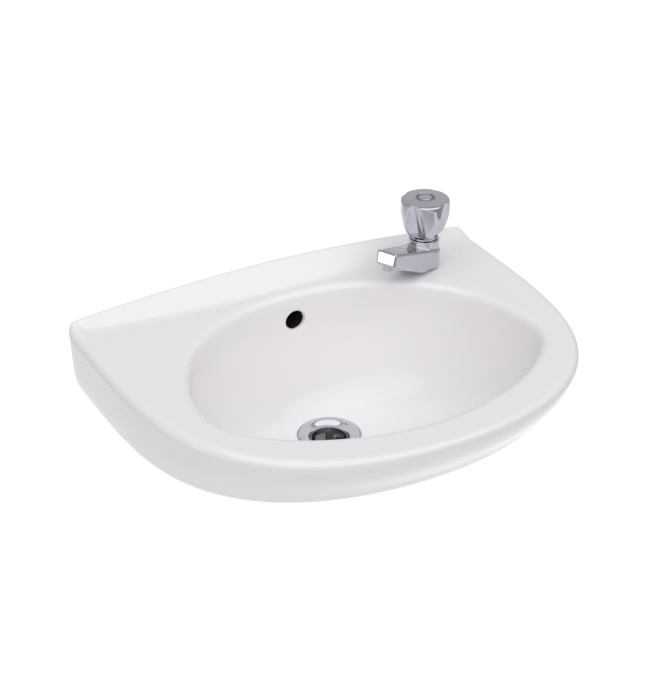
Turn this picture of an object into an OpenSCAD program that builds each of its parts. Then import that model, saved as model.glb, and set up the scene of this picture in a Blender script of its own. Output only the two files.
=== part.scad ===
// Wall-hung washbasin with one pillar tap and a slotted waste, in millimetres.
// Origin: on the wall, midway between the two wall bolt holes. Front is -Y, up is +Z.

/* [Basin outline] */
// overall width along the wall
basin_w = 450; // [420:1:500]
// how far the front of the rim stands out from the wall
basin_d = 345; // [330:1:375]
// fullness of the outline at the sides, higher is squarer
side_power = 2.1; // [1.9:0.05:2.5]
// fullness of the outline at the front, higher is flatter
front_power = 4.2; // [3.6:0.1:5]
// height of the rim above the wall bolts
rim_h = 35; // [32:1:42]
// rounding of the rim's outer edge at the front
rim_round = 5; // [3:0.5:7]
// extra rounding of the rim's outer edge at the sides
rim_round_side = 4; // [0:0.5:6]

/* [Upstand] */
// height of the upstand above the rim at mid-width
upstand_h = 19; // [8:0.5:26]
// height of the upstand at its ends
upstand_end_h = 5; // [3:0.5:8]
// depth of the sloping upstand at mid-width
upstand_d = 33; // [24:0.5:36]
// rounding of the upstand's top edge
upstand_round = 3; // [2:0.5:4]

/* [Apron] */
// depth of the apron below the rim at the wall
apron_h = 62; // [58:1:70]
// how far the apron's foot leans in at the front
apron_lean = 38; // [26:1:42]
// thickness of the apron and of the back plate
apron_t = 12; // [10:0.5:13]
// thickness of the deck
deck_t = 12; // [10:0.5:14]

/* [Bowl] */
// width of the bowl's opening
bowl_w = 349; // [330:1:354]
// distance from the wall to the widest line of the opening
bowl_mid = 203; // [198:1:206]
// reach of the opening in front of that line
bowl_front = 108; // [100:1:112]
// reach of the opening behind that line
bowl_back = 160; // [150:1:162]
// rounding of the bowl's edge
bowl_round = 8; // [5:0.5:10]
// depth of the bowl's floor below the rim
bowl_deep = 126; // [116:1:134]
// steepness of the bowl's front wall
bowl_front_power = 1.7; // [1.6:0.05:1.9]
// steepness of the bowl's rear wall
bowl_back_power = 2.8; // [2.4:0.1:3]
// thickness of the bowl's wall
bowl_t = 10; // [9:0.5:12]

/* [Holes] */
// distance from the wall to the waste's centre
waste_y = 116; // [112:1:122]
// diameter of the waste hole
waste_hole_d = 45; // [43.6:0.2:46]
// thickness of the boss around the waste hole
boss_t = 26; // [24:1:30]
// diameter of the boss around the waste hole
boss_d = 74; // [72:1:78]
// diameter of the overflow hole
overflow_d = 20; // [16:0.5:23]
// depth of the overflow hole's centre below the rim
overflow_deep = 30.5; // [29:0.5:36]
// diameter of the overflow channel
channel_d = 11; // [8:0.5:12]
// distance from mid-width to the tap's axis
tap_x = 144; // [136:1:150]
// distance from the wall to the tap's axis
tap_y = 53; // [50:1:58]
// diameter of the tap hole
tap_hole_d = 26; // [23:0.5:28]
// spacing of the wall bolt holes
bolt_gap = 220; // [200:1:240]
// diameter of a wall bolt hole
bolt_hole_d = 14; // [10:0.5:16]

/* [Tap body] */
// direction of the spout, turned from straight left towards the front
spout_turn = 26; // [0:1:40]
// diameter of the tap's wide lower body
foot_d = 33; // [32:0.5:36]
// height of the lower body above the base seal
body_h = 19.5; // [18:0.5:21]
// rounding of the lower body's foot
foot_round = 3; // [2:0.25:4]
// diameter of the barrel above the lower body
barrel_d = 31; // [30:0.25:31.5]
// height of the barrel's top above the base seal
barrel_h = 31.5; // [31:0.5:34]
// distance from the tap's axis to the foot of the spout's end face
spout_reach = 72.5; // [70:0.5:78]
// height of the spout's top edge at its end above the base seal
spout_top = 42; // [40:0.5:46]
// height of the spout's end face
spout_face = 14.5; // [13:0.5:15.5]
// width of the spout at its end
spout_w = 20; // [18:0.5:24]
// diameter of the water ways in the tap
way_d = 9; // [6:0.5:10]
// outer diameter of the tap's threaded tail
tail_d = 20.96; // [20.9:0.01:21]
// length of the tap's tail below the deck
tail_l = 50; // [44:1:60]
// diameter of the bore in the tap's tail
tail_bore_d = 13; // [10:0.5:14]

/* [Tap fixings] */
// thickness of the seal under the foot
base_seal_t = 1; // [0.75:0.25:3]
// thickness of the washer under the deck
tap_washer_t = 2; // [1:0.25:3]
// diameter of the washer under the deck
tap_washer_d = 36; // [34:1:40]
// width across the flats of the tap's backnut
tap_nut_flats = 27; // [26:0.5:30]
// thickness of the tap's backnut
tap_nut_t = 8; // [6:0.5:10]

/* [Headgear] */
// outer diameter of the headgear's thread
headgear_d = 20.8; // [20.4:0.1:21]
// height of the valve seat above the base seal
seat_h = 10.5; // [9.5:0.25:11]
// diameter of the valve seat's opening
seat_d = 9; // [7:0.5:10]
// diameter of the headgear's collar
collar_d = 27; // [26:0.5:28]
// thickness of the headgear's collar
collar_t = 1.5; // [1:0.25:1.75]
// thickness of the ring under the collar
headgear_seal_t = 1; // [0.75:0.25:1.25]
// width across the flats of the headgear's hexagon
headgear_flats = 16; // [15.5:0.5:16.5]
// height of the headgear's hexagon
headgear_hex_t = 6; // [4:0.5:7]
// outer diameter of the headgear's neck
neck_d = 14; // [13:0.5:15]
// height of the headgear above its collar
neck_h = 22; // [20:0.5:23]
// diameter of the spindle
spindle_d = 10; // [9:0.25:10.5]
// width across the flats of the spindle's square
square_w = 6.5; // [5.5:0.25:7]
// height of the spindle's square
square_h = 9; // [8:0.5:9.5]
// diameter of the spindle's thread in the jumper
spindle_thread_d = 8; // [7:0.25:8.5]
// thickness of an O-ring
ring_t = 1.8; // [1.2:0.1:2]
// thickness of the spindle's clip
clip_t = 1; // [0.8:0.1:1.2]
// lift of the jumper from closed to open
valve_lift = 4; // [3:0.25:4.5]
// diameter of the jumper washer
jumper_d = 13; // [12:0.5:15]
// thickness of the jumper washer
jumper_washer_t = 3.5; // [2.5:0.25:4]

/* [Handle] */
// largest diameter of the handle
handle_d = 49.6; // [48:0.2:53]
// diameter of the handle's foot
handle_foot_d = 30; // [29:0.5:32]
// height of the handle
handle_h = 39; // [38:0.5:42]
// gap between the headgear's collar and the handle's foot
handle_gap = 0.5; // [0.3:0.1:1]
// height of the domed top
handle_dome = 2.5; // [1:0.25:4]
// number of flutes around the handle
flutes = 4; // [3:1:6]
// radius of a flute
flute_r = 10; // [7:0.5:11]
// distance from the axis to a flute's floor at the handle's foot
flute_foot = 11.8; // [11.6:0.1:13]
// distance from the axis to a flute's floor at the handle's top
flute_top = 22.5; // [21:0.1:23.5]
// turn of the first flute from straight left towards the front
flute_turn = 38.4; // [0:0.2:89]
// diameter of the indice disc
indice_d = 19; // [16:0.5:20]
// thickness of the indice disc
indice_t = 2.4; // [1.6:0.1:3]

/* [Spout outlet] */
// distance from the tap's axis to the outlet's centre
outlet_x = 65; // [63:0.5:65.5]
// outer diameter of the outlet ring
outlet_d = 13; // [12:0.5:14]
// height of the outlet ring's mouth above the base seal
outlet_z = 22; // [20:0.5:23]
// wall thickness of the outlet ring
outlet_t = 1.25; // [1:0.25:1.5]
// depth of the flow straightener
straightener_h = 5; // [3:0.5:6]

/* [Waste] */
// diameter of the waste's flange
flange_d = 61; // [60:0.5:63]
// thickness of the flange at its edge
flange_t = 2; // [1.5:0.25:3]
// height of the flange's crown
flange_crown = 2.5; // [1.5:0.25:3.5]
// depth of the dished throat below the flange's seat
throat_deep = 6; // [5:0.25:8]
// outer diameter of the waste's threaded tail
waste_tail_d = 41.9; // [41.8:0.05:42]
// bore of the waste's tail
waste_bore_d = 36; // [32:0.5:37]
// length of the waste below the flange
waste_l = 64; // [60:1:90]
// height of the overflow slots
slot_h = 12; // [8:0.5:13]
// width of an overflow slot
slot_w = 14; // [8:0.5:15]
// depth of the crossbars below the flange
cross_deep = 14; // [14:0.5:16]
// thickness of a crossbar
cross_t = 3; // [2:0.5:4]
// thickness of the seal under the flange
top_seal_t = 1.5; // [1:0.25:2.5]
// thickness of the seal under the china
under_seal_t = 5; // [3:0.5:8]
// diameter of the seal under the china
under_seal_d = 62; // [60:1:66]
// thickness of the friction washer
friction_t = 1.5; // [1:0.25:2]
// width across the flats of the waste's backnut
waste_nut_flats = 52; // [50:1:56]
// thickness of the waste's backnut
waste_nut_t = 8; // [6:0.5:12]

/* [Clearances] */
// radial gap between threads and other fixed rings
thread_gap = 0.1; // [0.05:0.01:0.2]
// radial gap of the spindle and the jumper in their bores
running_gap = 0.04; // [0.02:0.01:0.08]
// radial gap of a washer around a tail
washer_gap = 0.5; // [0.3:0.1:1]
// gap around a dropped-in disc or insert
insert_gap = 0.15; // [0.1:0.05:0.3]

/* [Hidden] */
$fn = 96;
// columns of the china surface: half way round, and on the side up to the wall
half_cols = 48;
side_cols = 32;
wall_cols = half_cols - side_cols;
cols = 2 * half_cols;
// how the columns crowd together towards the front
col_crowd = 1.3;
half_w = basin_w / 2;
// where the upstand runs out, as a distance from mid-width
foot_end = half_w - 20;
// smallest depth of the upstand's foot, at its ends
foot_least = 12;
foot_power = 2.6;
top_power = 1.8;
// leans of the apron at the sides
side_lean = 5.5;
// share of the apron's lean at each level, and the level as a share of its height
apron_share = [0.03, 0.21, 0.55, 0.82, 1];
apron_level = [0.19, 0.4, 0.65, 0.84, 1];
side_share = [0.2, 0.65, 0.8, 1, 2.2];
// floor of the bowl and seat of the waste's flange, from the rim
floor_z = -bowl_deep;
seat_drop = 2.5;
waste_seat_z = floor_z - seat_drop;
seat_gap = 2;
seat_r = flange_d / 2 + seat_gap;
lip_run = 1.5;
boss_z = waste_seat_z - boss_t;
// the part of the loft that the waste hole's bore takes away again
bore_skin = 1.5;
// extra wall behind the bowl where the overflow channel runs down
channel_wall = 26;
channel_power = 10;
// level where the bowl's underside meets the boss
under_floor_z = floor_z - bowl_t - 2;
under_start = 38;
under_rows = 8;
pocket_rows = 4;
bowl_rows = 11;
edge_rows = 4;
// columns over which the rear pockets open and close
pocket_open = 13;
pocket_open_run = 8;
pocket_close = 41;
pocket_close_run = 5;

function mix(a, b, t) = a * (1 - t) + b * t;
function ease(t) = let (u = min(1, max(0, t))) u * u * (3 - 2 * u);

// half angle of a column: -90 at the front, 90 at the wall
function psi(i) = -90 + 180 * i / half_cols;
// share of the way from front to back
function back_share(i) = (1 + sin(psi(i))) / 2;

// outline of the rim, leaning in by lx at the side and ly at the front, wy clear of the wall
function rim_phi(i) = 90 * (1 - pow(i / side_cols, col_crowd));
function rim_x(i) = pow(max(0, 1 - pow(sin(rim_phi(i)), front_power)), 1 / side_power);
function rim_pt(i, lx, ly, wy) = i <= side_cols
    ? [(half_w - lx) * rim_x(i), -wy - (basin_d - ly - wy) * sin(rim_phi(i))]
    : [(half_w - lx) * (half_cols - i) / wall_cols, -wy];

// outline of the bowl's opening, grown by g
function bowl_power(i) = psi(i) < 0 ? 1.87 : 2.08;
function bowl_reach(i) = psi(i) < 0 ? -bowl_front : bowl_back;
function bowl_pt(i, g) = let (e = 2 / bowl_power(i), s = sign(psi(i)))
    [(bowl_w / 2 + g) * pow(cos(psi(i)), e),
     -bowl_mid + (bowl_reach(i) + s * g) * pow(abs(sin(psi(i))), e)];

// circle around the waste
function waste_pt(i, r) = [r * cos(psi(i)), -waste_y + r * sin(psi(i))];

// rise of the upstand above the rim's plane
rise_power = 1.15;
function foot_y(x) = -foot_least
    - (upstand_d - foot_least) * (1 - pow(min(1, abs(x) / foot_end), foot_power));
function top_h(x) = upstand_end_h
    + (upstand_h - upstand_end_h) * (1 - pow(min(1, abs(x) / half_w), top_power));
function rise(p) = let (f = foot_y(p[0]), s = (p[1] - f) / (-upstand_round - f))
    top_h(p[0]) * pow(min(1, max(0, s)), rise_power);
function lift(p, z) = [p[0], p[1], rise(p) + z];
function level(p, z) = [p[0], p[1], z];

// bowl inside: k runs from the floor to the edge
function inner_power(i) = mix(bowl_front_power, bowl_back_power, back_share(i));
function inner_pt(i, k) = let (
    t = 90 * (1 - k / bowl_rows),
    e = 2 / inner_power(i),
    p = mix(waste_pt(i, seat_r + lip_run), bowl_pt(i, -0.3 * bowl_round), pow(cos(t), e)))
    level(p, mix(-bowl_round, floor_z, pow(sin(t), e)));

// rounded edge of the bowl: k runs from the wall to the deck
function edge_pt(i, k) = let (t = 90 * (1 - k / (edge_rows - 1)))
    level(bowl_pt(i, bowl_round * (0.7 - sin(t))), -bowl_round * (1 - cos(t)));

// rounded outer edge of the rim and of the upstand: k runs from the deck outwards
function round_at(i) = rim_round + rim_round_side * pow(rim_pt(i, 0, 0, 0)[0] / half_w, 2);
function rim_edge(i, k) = let (t = 30 * k, s = 1 - sin(t), c = 1 - cos(t))
    i <= side_cols
    ? let (r = round_at(i), p = rim_pt(i, r * s, r * s, upstand_round * s)) lift(p, -r * c)
    : let (r = upstand_round, p = rim_pt(i, 0, 0, 0)) [p[0], -r * s, top_h(p[0]) - r * c];

// deck: rows follow the foot of the upstand
function foot_share(i) = let (
    a = bowl_pt(i, 0.7 * bowl_round),
    b = rim_edge(i, 0),
    f = (foot_y(b[0]) - a[1]) / (b[1] - a[1]),
    x = mix(a[0], b[0], f))
    (foot_y(x) - a[1]) / (b[1] - a[1]);
function wall_share(i, k) = let (f = foot_share(max(i, side_cols)))
    k < 2 ? f * (k + 1) / 2 : mix(f, 1, (k - 1) / 3);
function deck_pt(i, k) = let (
    w = ease((i - side_cols + 8) / 8),
    f = mix((k + 1) / 5, wall_share(i, k), w),
    a = bowl_pt(i, 0.7 * bowl_round),
    b = rim_edge(i, 0),
    p = mix(a, [b[0], b[1]], f))
    k < 2 ? level(p, 0) : lift(p, 0);

// apron: k runs down from the rim
function apron_pt(i, k) = level(rim_pt(i, side_lean * side_share[k], apron_lean * apron_share[k], 0),
    -apron_h * apron_level[k]);
// 1 where the underside is hollow, 0 where it is closed
function pocket(i) = ease((i - pocket_open) / pocket_open_run)
    * (1 - ease((i - pocket_close) / pocket_close_run));

// the china is thicker behind the bowl, down to the boss, where the overflow channel runs
function channel_share(i) = pow(max(0, sin(psi(i))), channel_power);
// underside of the bowl: t runs from 0 at the deck's underside to 90 at the boss
function wall_at(i) = bowl_t + channel_wall * channel_share(i);
function under_floor(i) = mix(under_floor_z, boss_z + 1, channel_share(i));
function under_pt(i, t) = let (
    e = 2 / inner_power(i),
    p = mix(waste_pt(i, boss_d / 2), bowl_pt(i, wall_at(i)), pow(cos(t), e)))
    level(p, mix(-deck_t, under_floor(i), pow(sin(t), e)));

// rows from the apron's foot to the bowl's underside, where closed and where hollow
function under_from(i) = under_start * (1 - pocket(i));
function closed_pt(i, k) = mix(apron_pt(i, 4), under_pt(i, under_start), (k + 1) / (pocket_rows + 1));
function pocket_pt(i, k) = let (
    h = rim_pt(i, side_lean + apron_t, apron_lean + apron_t, apron_t),
    a = rim_pt(i, side_lean + apron_t, apron_lean * 0.55 + apron_t, apron_t),
    b = rim_pt(i, side_lean * 0.65 + apron_t, apron_lean * 0.2 + apron_t, apron_t),
    c = bowl_pt(i, wall_at(i)))
    k == 0 ? level(h, -apron_h)
    : k == 1 ? level(a, -apron_h * 0.6)
    : k == 2 ? lift(b, -deck_t)
    : lift(mix(b, c, 0.6), -deck_t);
function below_pt(i, k) = k < pocket_rows
    ? mix(closed_pt(i, k), pocket_pt(i, k), pocket(i))
    : under_pt(i, mix(under_from(i), 90, (k - pocket_rows) / under_rows));

// one column of the china's surface, from the waste hole up, over the rim and back below
function column(i) = concat(
    [level(waste_pt(i, waste_hole_d / 2 - bore_skin), waste_seat_z),
     level(waste_pt(i, seat_r), waste_seat_z)],
    [for (k = [0 : bowl_rows - 1]) inner_pt(i, k)],
    [for (k = [0 : edge_rows - 1]) edge_pt(i, k)],
    [for (k = [0 : 3]) deck_pt(i, k)],
    [for (k = [0 : 3]) rim_edge(i, k)],
    [for (k = [0 : 4]) apron_pt(i, k)],
    [for (k = [0 : pocket_rows + under_rows]) below_pt(i, k)],
    [level(waste_pt(i, boss_d / 2), boss_z + 1),
     level(waste_pt(i, boss_d / 2 - 1), boss_z),
     level(waste_pt(i, waste_hole_d / 2 - bore_skin), boss_z)]);

function mirrored(c) = [for (p = c) [-p[0], p[1], p[2]]];

module china_surface() {
    right = [for (i = [0 : half_cols]) column(i)];
    all_cols = [for (i = [0 : cols - 1]) i <= half_cols ? right[i] : mirrored(right[cols - i])];
    rows = len(right[0]);
    points = [for (c = all_cols) for (p = c) p];
    faces = [for (i = [0 : cols - 1]) for (k = [0 : rows - 1])
        let (
            a = i * rows + k,
            b = i * rows + (k + 1) % rows,
            c = ((i + 1) % cols) * rows + (k + 1) % rows,
            d = ((i + 1) % cols) * rows + k)
        each [[a, b, c], [a, c, d]]];
    translate([0, 0, rim_h])
        polyhedron(points, faces, convexity = 12);
}

// the overflow channel: down behind the bowl, then forward under it into the waste hole
channel_z = waste_seat_z - boss_t / 2;
hole_y = bowl_back - bowl_mid;
down_top = [0, hole_y + 10, -overflow_deep + 4];
down_end = [0, hole_y + 4.5, floor_z - 6];
along_start = [0, hole_y + 5.5, floor_z];
along_end = [0, 12 - waste_y, channel_z];
// the lower run is a little narrower, so that its end lies inside the upper one
along_d = channel_d - 1;

module rod(a, b, d) {
    v = b - a;
    l = norm(v);
    translate(a)
        rotate([0, acos(v[2] / l), atan2(v[1], v[0])])
            cylinder(h = l, d = d);
}

module basin_body() {
    color("white")
        difference() {
            china_surface();
            translate([0, -waste_y, rim_h + boss_z - 1])
                cylinder(h = boss_t + 2, d = waste_hole_d);
            translate([tap_x, -tap_y, rim_h - deck_t - 1])
                cylinder(h = deck_t + 2, d = tap_hole_d);
            for (s = [-1, 1])
                translate([s * bolt_gap / 2, 1, 0])
                    rotate([90, 0, 0])
                        cylinder(h = apron_t + 2, d = bolt_hole_d);
            translate([0, 0, rim_h]) {
                rod([0, hole_y + 16, -overflow_deep], [0, hole_y - 24, -overflow_deep], overflow_d);
                rod(down_top, down_end, channel_d);
                rod(along_start, along_end, along_d);
            }
        }
}

// places a tap piece: z = 0 is the underside of the tap's foot
module at_tap() {
    translate([tap_x, -tap_y, rim_h + base_seal_t])
        children();
}

module ring(od, id, h) {
    difference() {
        cylinder(h = h, d = od);
        translate([0, 0, -1])
            cylinder(h = h + 2, d = id);
    }
}

// a threaded end, chamfered at its foot
module tail(d, h) {
    cylinder(h = chamfer, d1 = d - 2 * chamfer, d2 = d);
    translate([0, 0, chamfer])
        cylinder(h = h - chamfer, d = d);
}

module hexagon(flats, h) {
    cylinder(h = h, d = flats / cos(30), $fn = 6);
}

headgear_bore = headgear_d + 2 * thread_gap;
headgear_low = seat_h + 9;
seat_ring_h = 1.5;
seat_ring_d = seat_d + 4;
// the way for the water: its height at the tap's axis and over the outlet
way_z = seat_h + 5;
way_end_z = 29;
outlet_seat = 7.5;
// end of a thread: a chamfer, and a groove under the nut
chamfer = 1;
groove = 1.5;
groove_deep = 0.5;
tap_nut_z = -base_seal_t - deck_t - tap_washer_t - tap_nut_t;
shoulder_edge = 0.5;
// how far the end face's top stands back from its foot
spout_fall = 4.5;
// the arm's sides run on into the lower body, and its top falls towards the barrel
spout_root_w = foot_d;
spout_root_top = 15.3;
// the spout's underside: level by the foot, then rising
spout_floor = 1.5;
spout_bend = 26;
spout_bend_r = 4;
spout_slope = 0.6;
spout_back = 1;

// height of the spout's underside at distance t from the tap's axis
function spout_under(t) = let (u = t - spout_bend)
    spout_floor + spout_slope * (u + sqrt(u * u + spout_bend_r * spout_bend_r)) / 2;

module spout_side() {
    rotate([90, 0, 0])
        linear_extrude(height = foot_d + 2, center = true)
            polygon(concat(
                [for (k = [0 : 12])
                    let (t = mix(spout_back, spout_reach - 3, k / 12))
                    [t, spout_under(t)]],
                [[spout_reach, spout_top - spout_face],
                 [spout_reach - spout_fall, spout_top],
                 [spout_back, spout_root_top]]));
}

module spout_plan() {
    linear_extrude(height = 2 * spout_top)
        polygon([[0, -spout_root_w / 2], [spout_reach + 1, -spout_w / 2],
            [spout_reach + 1, spout_w / 2], [0, spout_root_w / 2]]);
}

module tap_body() {
    color("silver")
        at_tap()
            difference() {
                union() {
                    rotate_extrude()
                        polygon(concat(
                            [[0, 0]],
                            [for (k = [0 : 4])
                                let (a = 22.5 * k)
                                [foot_d / 2 - foot_round * (1 - sin(a)), foot_round * (1 - cos(a))]],
                            [[foot_d / 2, body_h - shoulder_edge],
                             [foot_d / 2 - shoulder_edge, body_h],
                             [barrel_d / 2, body_h],
                             [barrel_d / 2, barrel_h - chamfer],
                             [barrel_d / 2 - chamfer, barrel_h],
                             [0, barrel_h]]));
                    rotate(180 + spout_turn)
                        intersection() {
                            spout_side();
                            spout_plan();
                        }
                    translate([0, 0, -base_seal_t - tail_l])
                        tail(tail_d, base_seal_t + tail_l + 1);
                }
                translate([0, 0, tap_nut_z - groove])
                    ring(foot_d, tail_d - 2 * groove_deep, groove);
                // chamber, headgear's thread, seat and inlet
                translate([0, 0, seat_h + seat_ring_h])
                    cylinder(h = barrel_h, d = headgear_bore);
                translate([0, 0, seat_h - seat_ring_h])
                    difference() {
                        cylinder(h = 2 * seat_ring_h + 1, d = headgear_bore);
                        cylinder(h = seat_ring_h, d = seat_ring_d);
                    }
                translate([0, 0, -tail_l])
                    cylinder(h = tail_l + seat_h + 1, d = seat_d);
                translate([0, 0, -base_seal_t - tail_l - 1])
                    cylinder(h = tail_l + 1, d = tail_bore_d);
                // way through the spout and the outlet's seat
                rotate(180 + spout_turn) {
                    rod([0, 0, way_z], [outlet_x, 0, way_end_z], way_d);
                    translate([outlet_x, 0, outlet_z - 2])
                        cylinder(h = outlet_seat + 2, d = outlet_d + 2 * thread_gap);
                }
            }
}

module tap_base_seal() {
    color("dimgray")
        translate([tap_x, -tap_y, rim_h])
            ring(foot_d - 2 * foot_round + 1, tail_d + 2 * washer_gap, base_seal_t);
}

module tap_washer() {
    color("gainsboro")
        translate([tap_x, -tap_y, rim_h - deck_t - tap_washer_t])
            ring(tap_washer_d, tail_d + 2 * washer_gap, tap_washer_t);
}

module tap_backnut() {
    color("goldenrod")
        translate([tap_x, -tap_y, rim_h - deck_t - tap_washer_t - tap_nut_t])
            difference() {
                hexagon(tap_nut_flats, tap_nut_t);
                translate([0, 0, -1])
                    cylinder(h = tap_nut_t + 2, d = tail_d + 2 * thread_gap);
            }
}

// screws of the handle and of the jumper
screw_d = 4;
screw_head_d = 8;
screw_head_t = 2.5;
screw_l = 11;
jumper_screw_d = 3;
jumper_screw_head_d = 6;
jumper_screw_head_t = 1.5;
// levels of the headgear, above the base seal
collar_z = barrel_h + headgear_seal_t;
hex_z = collar_z + collar_t;
neck_top = collar_z + neck_h;
// the spindle's flange turns under the headgear's shoulder
flange_h = 2.5;
flange_z = collar_z - 1;
spindle_flange_d = 14;
jumper_body_d = 16;
guide_bore = jumper_body_d + 2 * running_gap;
spindle_bore = spindle_d + 2 * running_gap;
flange_room = 0.3;

module headgear_body() {
    color("goldenrod")
        at_tap()
            difference() {
                union() {
                    translate([0, 0, headgear_low])
                        cylinder(h = collar_z - headgear_low + 0.5, d = headgear_d);
                    translate([0, 0, collar_z])
                        cylinder(h = collar_t, d = collar_d);
                    translate([0, 0, hex_z - 0.1])
                        hexagon(headgear_flats, headgear_hex_t + 0.1);
                    translate([0, 0, hex_z])
                        cylinder(h = neck_top - hex_z, d = neck_d);
                }
                translate([0, 0, headgear_low - 1])
                    cylinder(h = flange_z + flange_h + flange_room - headgear_low + 1, d = guide_bore);
                cylinder(h = neck_top + 1, d = spindle_bore);
            }
}

module headgear_seal() {
    color("dimgray")
        at_tap()
            translate([0, 0, barrel_h])
                ring(collar_d - 1, headgear_d + 2 * thread_gap, headgear_seal_t);
}

// levels of the spindle and the jumper
jumper_z = seat_h + jumper_washer_t;
jumper_plate_t = 2.5;
jumper_room = 0.5;
spindle_low = jumper_z + jumper_plate_t + valve_lift + jumper_room;
jumper_top = flange_z - valve_lift - jumper_room;
clip_z = neck_top + 0.2;
square_z = clip_z + clip_t + 0.5;
ring_levels = [neck_top - 5, neck_top - 10];
groove_d = spindle_d - 2 * ring_t;

module spindle() {
    color("goldenrod")
        at_tap()
            difference() {
                union() {
                    translate([0, 0, spindle_low])
                        cylinder(h = flange_z - spindle_low, d = spindle_thread_d);
                    translate([0, 0, flange_z])
                        cylinder(h = flange_h, d = spindle_flange_d);
                    translate([0, 0, flange_z + flange_h])
                        cylinder(h = square_z - flange_z - flange_h, d = spindle_d);
                    translate([0, 0, square_z + square_h / 2])
                        intersection() {
                            cube([square_w, square_w, square_h], center = true);
                            cylinder(h = square_h, d = spindle_d - 1, center = true);
                        }
                }
                for (z = ring_levels)
                    translate([0, 0, z])
                        ring(spindle_d + 1, groove_d, ring_t + 0.2);
                translate([0, 0, clip_z - 0.05])
                    ring(spindle_d + 1, spindle_d - 1.6, clip_t + 0.1);
                translate([0, 0, square_z + square_h - 8])
                    cylinder(h = 9, d = screw_d + 2 * thread_gap);
            }
}

module spindle_o_rings() {
    color("dimgray")
        at_tap()
            for (z = ring_levels)
                translate([0, 0, z + 0.1 + ring_t / 2])
                    rotate_extrude()
                        translate([spindle_bore / 2 - running_gap - ring_t / 2, 0])
                            circle(d = ring_t - 0.1, $fn = 24);
}

module spindle_clip() {
    color("silver")
        at_tap()
            translate([0, 0, clip_z])
                difference() {
                    ring(spindle_d + 2.4, spindle_d - 1.5, clip_t);
                    translate([0, -spindle_d, -1])
                        cube([spindle_d, 2 * spindle_d, clip_t + 2]);
                }
}

module jumper() {
    color("goldenrod")
        at_tap()
            difference() {
                union() {
                    translate([0, 0, jumper_z])
                        cylinder(h = jumper_plate_t, d = jumper_d + 1);
                    translate([0, 0, jumper_z + jumper_plate_t])
                        cylinder(h = jumper_top - jumper_z - jumper_plate_t, d = jumper_body_d);
                }
                translate([0, 0, jumper_z + jumper_plate_t])
                    cylinder(h = jumper_top, d = spindle_thread_d + 2 * running_gap);
                translate([0, 0, jumper_z - 1])
                    cylinder(h = jumper_plate_t, d = jumper_screw_d + 2 * thread_gap);
            }
}

module jumper_washer() {
    color("dimgray")
        at_tap()
            translate([0, 0, seat_h])
                difference() {
                    ring(jumper_d, jumper_screw_d + 2 * thread_gap, jumper_washer_t);
                    translate([0, 0, -1])
                        cylinder(h = 1 + jumper_screw_head_t, d = jumper_screw_head_d + 2 * thread_gap);
                }
}

module jumper_screw() {
    color("goldenrod")
        at_tap()
            translate([0, 0, seat_h]) {
                cylinder(h = jumper_screw_head_t, d = jumper_screw_head_d);
                cylinder(h = jumper_washer_t + 1.2, d = jumper_screw_d);
            }
}

// levels of the handle
handle_z = hex_z + handle_gap;
handle_edge = handle_z + handle_h;
handle_top = handle_edge + handle_dome;
hub_z = square_z + 0.3;
hub_top = square_z + square_h + 0.5;
skirt_d = 2 * flute_foot - 3.6;
indice_floor = handle_top - indice_t;
indice_seat_d = indice_d + 2 * insert_gap;

// the handle's outline: radius and height as shares of its largest radius and its height
handle_shape = [[0.04, 0.2], [0.12, 0.42], [0.26, 0.66], [0.41, 0.83], [0.55, 0.94], [0.72, 1], [0.9, 1]];
handle_foot_round = 0.5;
handle_edge_round = 0.8;
dome_steps = 8;
function handle_r(s) = mix(handle_foot_d, handle_d, s) / 2;
function dome_r(k) = (handle_d / 2 - handle_edge_round) * cos(90 * k / dome_steps);
function dome_z(k) = handle_edge + handle_dome * sin(90 * k / dome_steps);

module handle_blank() {
    rotate_extrude()
        polygon(concat(
            [
                [0, handle_z],
                [handle_foot_d / 2 - handle_foot_round, handle_z],
                [handle_foot_d / 2, handle_z + handle_foot_round]
            ],
            [for (p = handle_shape) [handle_r(p[1]), handle_z + handle_h * p[0]]],
            [for (k = [0 : dome_steps]) [dome_r(k), dome_z(k)]]));
}

module flute() {
    lean = atan2(flute_top - flute_foot, handle_h);
    translate([flute_foot + flute_r / cos(lean), 0, handle_z])
        rotate([0, lean, 0])
            translate([0, 0, -handle_h])
                cylinder(h = 3 * handle_h, r = flute_r);
}

module tap_handle() {
    color("silver")
        at_tap()
            difference() {
                handle_blank();
                for (k = [0 : flutes - 1])
                    rotate(180 + flute_turn + 360 * k / flutes)
                        flute();
                translate([0, 0, handle_z - 1])
                    cylinder(h = hub_z - handle_z + 1, d = skirt_d);
                translate([0, 0, hub_z - 1 + (hub_top - hub_z + 1) / 2])
                    cube([square_w + 2 * thread_gap, square_w + 2 * thread_gap, hub_top - hub_z + 1], center = true);
                cylinder(h = handle_top, d = screw_d + 1);
                translate([0, 0, hub_top + 2])
                    cylinder(h = handle_top, d = screw_head_d + 1);
                translate([0, 0, indice_floor])
                    cylinder(h = indice_t + 1, d = indice_seat_d);
            }
}

module handle_screw() {
    color("silver")
        at_tap()
            translate([0, 0, hub_top + 2]) {
                difference() {
                    cylinder(h = screw_head_t, d = screw_head_d);
                    translate([0, 0, screw_head_t - 1])
                        cube([1.2, screw_head_d + 1, 2.2], center = true);
                }
                translate([0, 0, 1 - screw_l])
                    cylinder(h = screw_l - 0.5, d = screw_d);
            }
}

module indice_disc() {
    color("silver")
        at_tap()
            translate([0, 0, indice_floor])
                rotate_extrude()
                    polygon([[0, 0], [indice_d / 2, 0], [indice_d / 2, indice_t - 1.4],
                        [indice_d / 2 - 1.4, indice_t - 0.1], [0, indice_t]]);
}

module at_outlet() {
    at_tap()
        rotate(180 + spout_turn)
            translate([outlet_x, 0, outlet_z])
                children();
}

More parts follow.
